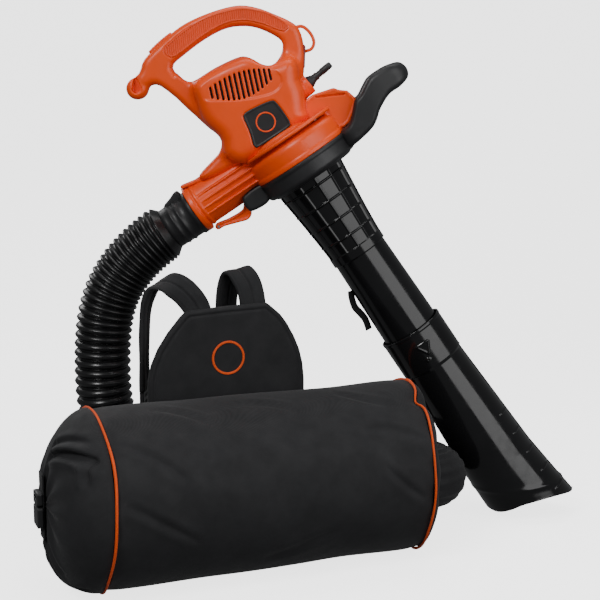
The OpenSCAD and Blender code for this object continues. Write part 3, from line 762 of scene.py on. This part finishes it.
def add_assist_handle():
    """The loop behind the scroll: two broad arms that rise out of the lower ring to a rounded end."""
    def field(x, y, z):
        plan = slab(np.maximum(x - 262, 84 - x), y, ASSIST_HALF - 0.012 * np.maximum(x - 170, 0) ** 1.5, 34)
        body = cut(outline(x, z, ASSIST), -plan, 14)
        hole = slab(np.abs(x - 150) - 78, y, 38, 22)
        hollow = cut(body, hole, 7)
        groove = slab(outline(x, z, ASSIST) + 9, np.abs(y) - 60, 2.4, 2)
        return np.maximum(cut(hollow, groove, 3), SCROLL_R - 1 - np.hypot(x - SCROLL_X, y))

    solid("assist_handle_loop", field, (80, -64, 6), (268, 64, 108), 2.0, BLOWER, "black_shell",
          replaces=("assist_handle",))


BRACKET = [(48, 92), (50, 112), (70, 130), (90, 131), (128, 120), (134, 112), (146, 102), (151, 84),
           (147, 72), (134, 62), (119, 52), (106, 50), (92, 54), (86, 90)]


def add_bracket():
    """The orange block that holds the assist handle, recessed on both sides."""
    def field(x, y, z):
        flat = outline(x, z, BRACKET)
        form = slab(flat, y, 32, 3)
        form = cut(form, slab(flat + 6, np.abs(y) - 34, 3, 1.5), 1.5)
        groove = slab(bar(x, z, (92, 124), (138, 100), 1.2, 1.2), np.abs(y) - 32, 6, 1)
        return cut(form, groove, 1.5)

    solid("assist_handle_bracket", field, (50, -40, 46), (154, 40, 138), 1.6, BLOWER, "orange_shell",
          replaces=("assist_bracket",))


def add_duct():
    """The outlet with its flange, four thin fins and the pockets between them."""
    def field(x, y, z):
        radial = np.hypot(y - DUCT_Y, z - DUCT_Z)
        tube = slab(radial - DUCT_R, x + 137, 75, 2)
        flange = slab(np.hypot(y - DUCT_Y, z - DUCT_Z + 3) - DUCT_R - 4, x - DUCT_END - 5.5, 5, 1.6)
        lip = slab(radial - DUCT_R - 1.8, x - DUCT_END - 17, 2, 1)
        form = join(join(tube, flange, 3), lip, 3)
        sweep_out = np.clip((x + 205) / 120, 0, 1) * 9
        for height in (57, 70, 83, 96):
            ridge = np.maximum(np.abs(z - height) - 1.4, radial - DUCT_R - sweep_out)
            ridge = np.maximum(np.maximum(ridge, np.abs(x + 133) - 70), y - DUCT_Y)
            form = join(form, ridge, 1.5)
        webbed = np.maximum(np.abs(z - 76) - 20, radial - DUCT_R - sweep_out + 5.5)
        form = join(form, np.maximum(np.maximum(webbed, np.abs(x + 96) - 33), y - DUCT_Y), 2)
        return np.maximum(form, DUCT_R - 3 - radial)

    solid("outlet_duct_shell", field, (-222, DUCT_Y - 60, 26), (-60, DUCT_Y + 54, 134), 1.6, BLOWER,
          "orange_shell", replaces=("outlet_duct",))

    def frame_field(x, y, z):
        strip = bar(x, z, (-206, 126), (-104, 104), 3.4, 4)
        return slab(strip, y - DUCT_Y + 16, 12, 2)

    solid("duct_latch_frame", frame_field, (-214, -6, 96), (-96, 26, 134), 1.4, BLOWER, "orange_shell")


def add_saddle():
    """The block under the duct, hollowed to the duct's round."""
    shape = curved((-127, 20), (-126, 44), (-110, 50), (-84, 50), (-76, 40), (-78, 20), (-92, 13), (-114, 14))

    def field(x, y, z):
        form = slab(outline(x, z, shape), y - DUCT_Y, 40, 6)
        return cut(form, np.hypot(y - DUCT_Y, z - DUCT_Z) - DUCT_R - 0.4, 1.0)

    solid("duct_saddle_block", field, (-134, -20, 8), (-70, 70, 56), 1.6, BLOWER, "black_shell",
          replaces=("duct_saddle",))


def add_lever():
    """The curved lever of the duct's latch."""
    shape = curved((-200, 27), (-194, 33), (-170, 28), (-140, 27), (-128, 38), (-124, 30), (-128, 12),
                   (-140, 6), (-160, 12), (-184, 20), (-197, 21))

    def field(x, y, z):
        form = slab(outline(x, z, shape), y - DUCT_Y, 10, 2.5)
        return cut(form, slab(outline(x, z, shape) + 5, np.abs(y - DUCT_Y) - 11, 3, 1), 1.5)

    solid("latch_lever_arm", field, (-206, 10, 0), (-120, 40, 42), 1.0, BLOWER, "orange_shell",
          body="duct_latch", replaces=("latch_lever",))


def add_adapter():
    """The hose adapter: a ribbed black sleeve with a raised latch wedge on top."""
    count = 96
    rings = [(-213, 39), (-213, 43.5), (-215, 44), (-220, 44), (-221, 43), (-222, 41.5), (-238, 41),
             (-239, 42.5), (-242, 42.5), (-243, 41), (-252, 40.6), (-253, 42), (-256, 42), (-257, 40.5),
             (-266, 40.2), (-273, 40), (-273.5, 38), (-214, 37)]
    points = [(x, DUCT_Y + r * math.cos(a), ADAPTER_Z + r * math.sin(a))
              for x, r in rings for a in turns_of(count)]
    make("hose_adapter_sleeve", points, grid_faces(len(rings), count, wrap_rows=True), BLOWER,
         "black_shell", replaces=("hose_adapter",))
    wedge = curved((-221, 108), (-221, 122), (-226, 126), (-240, 121), (-256, 116), (-258, 108), (-240, 106))

    def field(x, y, z):
        return slab(outline(x, z, wedge), y - DUCT_Y, 14, 3)

    solid("adapter_latch_wedge", field, (-264, 8, 102), (-216, 42, 130), 1.1, BLOWER, "black_shell",
          replaces=("adapter_latch",))


# ---- Suction tube ----------------------------------------------------------------------------

NECK_Z, NECK_R, FLARE_R, JOINT_Z, COLLAR_Z, COLLAR_LOW, COLLAR_R = -143, 52, 69, -372, -333, -409, 61.4
UPPER_WALL, LOWER_WALL = 2.5, 2.4
RING_HEIGHTS = (-8, -44, -81, -117)
RIB_COUNT, SIDES = 13, 256
TUBE_ANGLES = turns_of(SIDES)


def bumps(distance, half, edge):
    """One inside a band of that half width, falling softly to nought outside it."""
    return np.clip((half + edge - np.abs(distance)) / edge, 0, 1)


def wall_of(radius, heights, thickness):
    """Points and faces of a tube's wall; radius(z, angles) is its outer surface."""
    outer = np.array([radius(z, TUBE_ANGLES) for z in heights])
    points = []
    for rings, order in ((outer, 1), (outer - thickness, -1)):
        for ring, z in zip(rings[::order], heights[::order]):
            points += list(zip(ring * np.cos(TUBE_ANGLES), ring * np.sin(TUBE_ANGLES), np.full(SIDES, z)))
    return np.array(points), grid_faces(2 * len(heights), SIDES, wrap_rows=True)


def add_upper_tube():
    """The flared top has a lattice of thin ribs; the neck band and the plain tube are smooth."""
    def radius(z, angle):
        flare = NECK_R + (FLARE_R - 3 - NECK_R) * np.clip((z - NECK_Z) / (SCROLL_LOW - NECK_Z), 0, 1) ** 1.25
        neck = NECK_R - 2 + 5 * bumps(z - NECK_Z + 8, 8, 2)
        if z < NECK_Z + 0.5:
            plain = NECK_R + 4 - 4 * np.clip((z - JOINT_Z) / (NECK_Z - 18 - JOINT_Z), 0, 1)
            return np.full(SIDES, max(plain, neck))
        rib = bumps((angle * RIB_COUNT / math.tau + 0.5) % 1 - 0.5, 0.035, 0.02)
        rings = max(bumps(z - height, 1.1, 0.8) for height in RING_HEIGHTS)
        return flare + 3.0 * np.maximum(rib, rings) * np.clip((SCROLL_LOW - z) / 5, 0, 1)

    heights = np.concatenate([np.arange(JOINT_Z, NECK_Z - 20, 6),
                              np.arange(NECK_Z - 20, SCROLL_LOW - 1, 0.8)])
    points, faces = wall_of(radius, heights, UPPER_WALL)
    make("upper_tube_flared", points, faces, BLOWER, "gloss_black_tube", replaces=("upper_tube",))


MOUTH_CUT = spline([(-90, -692), (-72, -706), (-57, -717), (-34, -720), (-10, -721), (14, -727), (40, -737),
                    (64, -751), (92, -774)], 40)


def add_lower_tube():
    """The collar, the widening tube with its spine and cross ribs, and the slanted mouth."""
    def radius(z, angle):
        widen = np.interp(z, (-784, -660, COLLAR_LOW), (78, 71, 58))
        widen = widen + 9 * np.cos(angle) * np.clip((-640 - z) / 144, 0, 1)
        collar = COLLAR_R + 0.9 * bumps(z - COLLAR_Z + 3, 2, 1.5)
        blend = np.clip((z - COLLAR_LOW + 5) / 6, 0, 1)
        blend = blend * blend * (3 - 2 * blend)
        base = widen + (collar - widen) * blend
        spine = 1.8 * bumps(wrapped(angle), 0.02, 0.012) * (z < COLLAR_LOW)
        ribs = 0.0
        for height in range(-560, -740, -44):
            across = bumps(wrapped(angle + 0.5), 0.19, 0.04)
            ribs = np.maximum(ribs, 3.0 * bumps(z - height, 1.2, 1.0) * across)
        around_front = wrapped(angle + math.pi / 2 - 0.05) * round(COLLAR_R)
        badge = np.abs(outline(around_front, z, [(-13, -360), (13, -360), (1, -383)]))
        boss = np.abs(np.hypot(around_front + 6, z + 392) - 3)
        wedge = 1.3 * bumps(np.minimum(badge, boss), 1.0, 1.0)
        return base + np.maximum(spine, ribs) + wedge

    heights = np.concatenate([np.arange(-790, COLLAR_LOW - 8, 1.3),
                              np.arange(COLLAR_LOW - 8, COLLAR_Z + 0.1, 0.9)])
    points, faces = wall_of(radius, heights, LOWER_WALL)
    floor = np.interp(points[:, 0], MOUTH_CUT[:, 0], MOUTH_CUT[:, 1])
    crease = -694 - 0.5 * points[:, 0]
    depth = np.clip((crease - points[:, 2]) / 70, 0, 1)
    pinch = 1 - 0.03 * depth * np.exp(-((np.arctan2(points[:, 1], points[:, 0]) + 1.9) / 0.7) ** 2)
    pinch += 0.02 * np.exp(-((points[:, 2] - crease) / 5) ** 2)
    points[:, :2] *= pinch[:, None]
    under = points[:, 2] < floor
    points[:, 2] = np.where(under, floor + 0.004 * (points[:, 2] - floor), points[:, 2])
    make("lower_tube_nozzle", points, faces, BLOWER, "gloss_black_tube", body="lower_tube_body",
         replaces=("lower_tube",))


def add_tether():
    """The short strap that hangs under the upper tube."""
    path = spline([(-54, -4, -212), (-60, -3, -224), (-65, -1, -242), (-63, 1, -258), (-62, 3, -274),
                   (-67, 4, -294)], 60)
    ring = band_ring(7, 1, 0.5, 0.3)
    points, faces = swept(path, (0.85, 0.5, 0), lambda i, share: ring)
    make("tether_webbing", points, faces, BLOWER, "black_webbing", replaces=("tether_strap",))


# ---- Bag -------------------------------------------------------------------------------------

BAG_R, BAG_HALF, END_RIM, LEFT_TIP, RIGHT_TIP = 150, 279, 282, -372, 324
FLOOR_Z = -BAG_HEIGHT + 0.4
TURN_MM = 2.5              # length of cloth in one degree of turn, rounded


def profile(u):
    """The bag's radius along its length."""
    u = np.asarray(u, float)
    left = np.clip((-END_RIM - u) / (-END_RIM - LEFT_TIP), 0, 1)
    right = np.clip((u - END_RIM) / (RIGHT_TIP - END_RIM), 0, 1)
    radius = BAG_R - 2.5 * left ** 0.3 - 4 * right ** 0.3
    radius = radius * (1 - left ** 3.2) ** 0.55 * (1 - right ** 3.6) ** 0.5
    return np.maximum(radius, 0.5)


def fold(x, y, start, end, depth, width, bow=0.0, spread=1.8):
    """A sharp valley between two soft ridges, from one place on the cloth to another."""
    dx, dy = end[0] - start[0], end[1] - start[1]
    length = math.hypot(dx, dy)
    share = np.clip(((x - start[0]) * dx + (y - start[1]) * dy) / length ** 2, 0, 1)
    arch = 4 * share * (1 - share)
    off = (-(x - start[0]) * dy + (y - start[1]) * dx) / length - bow * arch
    ridge = np.exp(-((np.abs(off) - spread * width) / (1.2 * width)) ** 2)
    return depth * np.sqrt(arch) * (0.5 * ridge - np.exp(-np.abs(off / width) ** 1.5))


def cloth_offset(u, turn):
    """How far the cloth stands off the plain shape, in mm; turn is 0 at the front, 90 on top."""
    rad = np.radians(turn)
    total = 1.6 * np.sin(u / 47 + 1.3 * np.sin(2 * rad)) * np.sin(2 * rad + u / 190)
    total += 1.0 * np.sin(u / 23 + 4 * rad) * np.sin(3 * rad + 0.6)
    folds = [((-268, 52), (-170, 22), 4.0, 7, 6), ((-262, 12), (-150, -18), 3.2, 6, 0),
             ((268, 30), (150, 44), 4.0, 7, -8), ((262, -8), (170, 20), 3.0, 6, 4),
             ((-60, 78), (40, 62), 2.4, 8, 6), ((-190, 80), (-110, 58), 2.8, 7, 5),
             ((120, 80), (220, 60), 3.0, 7, -6), ((-40, -40), (90, -22), 2.2, 9, 0)]
    for (u0, turn0), (u1, turn1), depth, width, bow in folds:
        total += fold(u, TURN_MM * turn, (u0, TURN_MM * turn0), (u1, TURN_MM * turn1), depth, width, bow, 1.9)
    near_piping = np.exp(-((np.abs(u) - BAG_HALF) / 16) ** 2)
    return total + near_piping * (1.2 * np.sin(13 * rad + 2 * np.sin(3 * rad)) - 1.5)


def bag_surface(u, turn):
    """Points of the cloth from the distance along the bag and the turn about its axis in degrees."""
    rad = np.radians(turn)
    radius = profile(u) + cloth_offset(u, turn) - 2
    v, z = -radius * np.cos(rad), radius * np.sin(rad)
    return np.stack([np.full_like(v, u), v, np.maximum(z, FLOOR_Z)], axis=-1)


def loft(along, points_at, count=240):
    """A closed solid through leaned rings of points, one for each value in along."""
    turns = np.arange(count) * 360 / count - 180
    rings = [points_at(value, turns) for value in along]
    return lean_ends(np.concatenate(rings)), grid_faces(len(rings), count) + end_caps(len(rings), count)


def left_end(share, turn):
    """The gathered left end: rings from its rim to its middle."""
    rad = np.radians(turn)
    radius = 148.0 * (1 - share) + 2.0
    bulge = 92 * (1 - (radius / 150.0) ** (3.3 - 1.1 * np.sin(rad))) ** 0.6
    pleat = 2.8 * np.sin(11 * rad + 1.5 * np.sin(2 * rad)) * np.clip(share * 1.5, 0, 1) ** 2
    pleat = pleat * np.clip((1.05 - share) * 3, 0, 1)
    y, z = -radius * np.cos(rad), radius * np.sin(rad)

    folds = [((-142, 84), (14, 72), 15, 6, 18), ((-100, 98), (-118, 58), 8, 5, 0),
             ((-88, 116), (14, 92), 8, 5, 8), ((-112, -106), (-56, -124), 12, 6, -6),
             ((-40, -134), (6, -44), 12, 8, 9), ((-66, -96), (-12, -30), 6, 5, 0),
             ((90, 90), (-5, -10), 7, 6, 10), ((10, 112), (-4, -118), 6, 3, 3)]
    creases = sum(fold(y, z, *one) for one in folds)
    rim = 1 - np.clip(share * 14, 0, 1)
    out = bulge + (creases + pleat) * (1 - rim)
    return np.stack([-END_RIM - out, y, np.maximum(z, FLOOR_Z)], axis=-1)


def right_end(share, turn):
    """The flatter end round the sleeve: rings from its rim to its middle."""
    rad = np.radians(turn)
    radius = 145.0 * (1 - share) + 2.0
    bulge = 30 * (1 - (radius / 147.0) ** 3.4) ** 0.6
    fade = np.clip(share * 5, 0, 1) * np.clip(1.2 - share, 0, 1)
    gather = 2.2 * np.sin(9 * rad + 1.2 * np.sin(2 * rad)) * fade
    y, z = -radius * np.cos(rad), radius * np.sin(rad)
    return np.stack([END_RIM + bulge + gather, y, np.maximum(z, FLOOR_Z)], axis=-1)


def lean_ends(points):
    """Draws the bag's right end in at the front, and lets its left rim stand further out."""
    points = np.array(points, float)
    u, front = points[:, 0].copy(), np.clip(-points[:, 1] / BAG_R, 0, 1)
    right = np.clip(u / BAG_HALF, 0, 1.1) ** 2
    left = np.clip(-u / BAG_HALF, 0, 1) ** 2
    beyond = np.clip(-BAG_HALF - u, 0, None)
    sway = 7 * np.clip(points[:, 2] / BAG_R, -1, 1) * front
    points[:, 0] = u - 25 * right * front - (12 - sway) * left + 0.17 * beyond
    turn = np.degrees(np.arctan2(points[:, 2], -points[:, 1]))
    dent = np.exp(-((turn - 64) / 7) ** 2) * np.exp(-((u - 285) / 26) ** 2)
    points[:, 1:] *= (1 - 0.075 * dent)[:, None]
    points[:, 0] -= 7 * dent
    return points


def add_bag():
    """The bag's body, its two ends and the piping on the seams between them."""
    points, faces = loft(np.linspace(2 - BAG_HALF, BAG_HALF - 2, 280), bag_surface)
    body = make("bag_cloth_body", points, faces, BAG, "bag_fabric", replaces=("bag_body",))
    for word, points_at, order in (("left", left_end, -1), ("right", right_end, 1)):
        points, faces = loft(np.linspace(0, 1, 90), points_at)
        end = make(f"bag_cloth_{word}_end", points, [face[::order] for face in faces], BAG, "bag_fabric",
                   replaces=(f"bag_{word}_end",))
    for word, u in (("left", -BAG_HALF), ("right", BAG_HALF)):
        add_piping(word, u)


def add_piping(word, u):
    """A corded edge that wavers with the cloth."""
    count, sides = 360, 12
    rad = turns_of(count)
    wave = 1.4 * np.sin(3 * rad + 0.7) + 0.8 * np.sin(7 * rad + u)
    radius = BAG_R - 0.2 + 0.6 * np.sin(5 * rad + u)
    points = []
    for a, w, r in zip(rad, wave, radius):
        for b in turns_of(sides):
            out, along = r + 2.6 * math.cos(b), 2.4 * math.sin(b)
            points.append((u + w + along, -out * math.cos(a), max(out * math.sin(a), FLOOR_Z - 0.2)))
    piping = make(f"bag_piping_{word}", lean_ends(points), grid_faces(count, sides, wrap_rows=True), BAG,
                  "orange_piping", replaces=(f"piping_{word}",))


SLEEVE_ROUTE = [(196, -168, 112), (222, -142, 107), (244, -112, 102), (252, -84, 98), (250, -58, 95),
                (242, -30, 92), (234, 0, 88), (231, 28, 86)]


def add_sleeve():
    """The cloth sleeve that ties round the hose, gathered towards both of its ends."""
    path = spline(SLEEVE_ROUTE, 140)
    rad = turns_of(180)

    def section(i, share):
        gather = 2.2 * np.sin(21 * rad + 3 * np.sin(2 * rad) + 5 * share) * (0.3 + np.abs(share - 0.4) * 1.6)
        puff = 3.0 * math.sin(math.pi * share) - 2.0
        seam = -1.6 * math.exp(-((share - 0.62) / 0.018) ** 2) - 1.2 * math.exp(-((share - 0.9) / 0.02) ** 2)
        radius = 55 + puff + gather + seam + 0.8 * np.sin(3 * rad + 9 * share)
        return np.stack([radius * np.cos(rad), radius * np.sin(rad)], axis=1)

    points, faces = swept(path, (0, 0, 1), section)
    sleeve = make("bag_sleeve_cloth", points, faces, GROUND, "bag_fabric", replaces=("bag_sleeve",))


PANEL = [(-171, 0), (-171, 120), (-170, 165), (-164, 192), (-152, 219), (-134, 246), (-112, 272),
         (-102, 281), (-97, 283), (-27, 287), (40, 289), (46, 289), (53, 284), (72, 267), (84, 251),
         (98, 226), (108, 202), (114, 178), (117, 150), (117, 0)]
PANEL_V, PANEL_HALF = 100, 7
PANEL_RING_AT, PANEL_RING_R = (-27, 197), 28


def add_panel():
    """The padded back panel: a bound edge, a stitched line inside it, and faint cushioning."""
    def field(x, y, z):
        flat = outline(x, z, PANEL)
        hem = 1.6 * np.exp(-((flat + 10) / 2.2) ** 2)
        pad = 1.0 * np.sin(x / 21 + 0.8) * np.sin(z / 26) * np.clip((-flat - 12) / 20, 0, 1)
        form = slab(flat, y - PANEL_V, PANEL_HALF + 0.4, 6) + hem - 0.6 * pad
        return np.maximum(form, BAG_R - 2 - np.hypot(y, z))

    panel = solid("back_panel_pad", field, (-176, 88, 88), (122, 112, 296), 2.0, BAG, "bag_fabric",
                  replaces=("back_panel",))

    def ring(x, y, z):
        from_ring = np.abs(np.hypot(x - PANEL_RING_AT[0], z - PANEL_RING_AT[1]) - PANEL_RING_R)
        return slab(from_ring - 2, y - PANEL_V + PANEL_HALF + 0.6, 1.0, 0.5)

    solid("back_panel_ring", ring, (-62, 88, 162), (8, 98, 232), 0.9, BAG, "orange_piping",
          replaces=("panel_emblem",))


LEFT_STRAP = [(-74, 104, 255), (-80, 104, 286), (-98, 107, 312), (-116, 114, 326), (-132, 124, 329),
              (-147, 136, 320), (-157, 144, 292), (-161, 148, 250), (-162, 150, 190), (-162, 152, 140)]
LEFT_SIDES = [(0.92, 0, 0.4), (0.9, 0, 0.42), (0.85, 0, 0.5), (0.82, 0.1, 0.5), (0.78, 0.35, 0.35),
              (0.7, 0.6, 0.2), (0.6, 0.8, 0), (0.52, 0.85, 0), (0.5, 0.87, 0), (0.5, 0.87, 0)]
RIGHT_STRAP = [(24, 104, 255), (23, 104, 286), (18, 107, 316), (10, 114, 335), (3, 126, 343),
               (-3, 140, 335), (-8, 149, 310), (-10, 153, 270), (-10, 155, 200), (-10, 157, 137)]
RIGHT_SIDES = [(1, 0, 0), (1, 0, 0.05), (0.97, 0, 0.2), (0.95, 0, 0.25), (0.97, 0.1, 0.15), (0.95, 0.25, 0),
               (0.93, 0.35, 0), (0.93, 0.37, 0), (0.93, 0.37, 0), (0.93, 0.37, 0)]


def strap_section(width, thick):
    """A padded strap's section: round edges and a stitched channel down its middle."""
    across = np.linspace(-width / 2, width / 2, 33)
    edge = np.clip((width / 2 - np.abs(across)) / 7, 0, 1)
    height = thick / 2 * np.sqrt(1 - (1 - edge) ** 2) + 0.4
    height -= 2.2 * np.exp(-(across / 1.8) ** 2)
    height -= 1.0 * np.exp(-((np.abs(across) - width / 2 + 5) / 1.2) ** 2)
    top = list(zip(across, height))
    return np.array(top + [(a, -h) for a, h in reversed(top)])


STRAPS = (("left", LEFT_STRAP, LEFT_SIDES), ("right", RIGHT_STRAP, RIGHT_SIDES))


def add_straps():
    """Two padded loops with faint waves, and the adjuster at the foot of each."""
    ring = strap_section(48, 9)
    for word, route, sides in STRAPS:
        both = spline([(*p, *(100 * np.array(q))) for p, q in zip(route, sides)], 140)
        points, faces = swept(both[:, :3], both[:, 3:],
                              lambda i, share: ring * (1, 1 + 0.08 * math.sin(i / 5)))
        strap = make(f"strap_padded_{word}", points, faces, BAG, "bag_fabric",
                     replaces=(f"shoulder_strap_{word}",))
    for word, route, sides in STRAPS:
        add_adjuster(word, Vector(route[-1]), sides[-1])


def add_adjuster(word, at, side):
    """A ladder lock: a flat frame with two crossbars, as wide as the strap and in line with it."""
    def field(x, y, z):
        along = (x - at.x) * side[0] + (y - at.y) * side[1]
        through = (y - at.y) * side[0] - (x - at.x) * side[1]
        plate = slab(np.maximum(np.abs(along) - 21, np.abs(z - at.z + 14) - 13), through, 4, 1.5)
        for below in (8, 20):
            plate = cut(plate, np.maximum(np.abs(along) - 16, np.abs(z - at.z + below) - 2.6), 1)
        return plate

    low, high = at - Vector((26, 24, 32)), at + Vector((26, 24, 4))
    solid(f"strap_adjuster_{word}", field, low, high, 1.2, BAG, "buckle_plastic",
          replaces=("strap_adjusters",) if word == "left" else ())


def add_closure():
    """The webbing, buckle and tongue that hold the gathered end shut."""
    tip = LEFT_TIP - 2

    def webbing(x, y, z):
        weave = 0.25 * np.cos(math.tau * z / 2.4)
        return slab(np.abs(y) - 15, x - tip + 1, 1.3 + weave, 0.6) + np.maximum(np.abs(z) - 54, 0)

    solid("closure_webbing_strip", webbing, (tip - 6, -20, -58), (tip + 4, 20, 58), 1.2, BAG, "black_webbing",
          replaces=("closure_webbing",))

    def buckle(x, y, z):
        form = slab(slab(np.abs(y) - 18, z + 16, 17, 4), x - tip + 7, 5, 1.6)
        pocket = np.maximum(np.abs(y) - 12.3, np.abs(z + 10) - 13)
        return cut(form, np.maximum(pocket, np.abs(x - tip + 7) - 3.3), 0.4)

    solid("closure_buckle_body", buckle, (tip - 15, -22, -38), (tip + 2, 22, 6), 1.0, BAG, "buckle_plastic",
          replaces=("closure_buckle",))

    def tongue(x, y, z):
        head = slab(slab(np.abs(y) - 16, z - 14, 11, 4), x - tip + 7, 5, 1.6)
        slot = slab(np.abs(y) - 10, z - 16, 3.2, 1)
        head = cut(head, slot, 0.6)
        prong = slab(slab(np.abs(np.abs(y) - 8) - 3.4, z + 1, 7, 1.5), x - tip + 7, 2.8, 0.8)
        return np.minimum(head, prong)

    solid("closure_tongue_body", tongue, (tip - 15, -20, -12), (tip + 2, 20, 30), 1.0, BAG, "buckle_plastic",
          body="tongue", replaces=("closure_tongue",))


# ---- The whole -------------------------------------------------------------------------------

def dress_cad():
    """Gives the CAD's own inner pieces the materials of their slots."""
    slots = {part["node"]: part["material_slot"] for part in frame["record"]["subparts"]}
    for name, obj in frame["nodes"].items():
        obj.data.materials.clear()
        obj.data.materials.append(looks[slots[name]])


add_camera()
dress_cad()
for add_piece in (add_hose, add_housing, add_grips, add_badges, add_painted_shade_block, add_inlet, add_retainer,
                  add_switch, add_scroll, add_assist_handle, add_bracket, add_duct, add_saddle, add_lever,
                  add_adapter, add_upper_tube, add_lower_tube, add_tether, add_bag, add_sleeve, add_panel,
                  add_straps, add_closure, add_studio):
    add_piece()
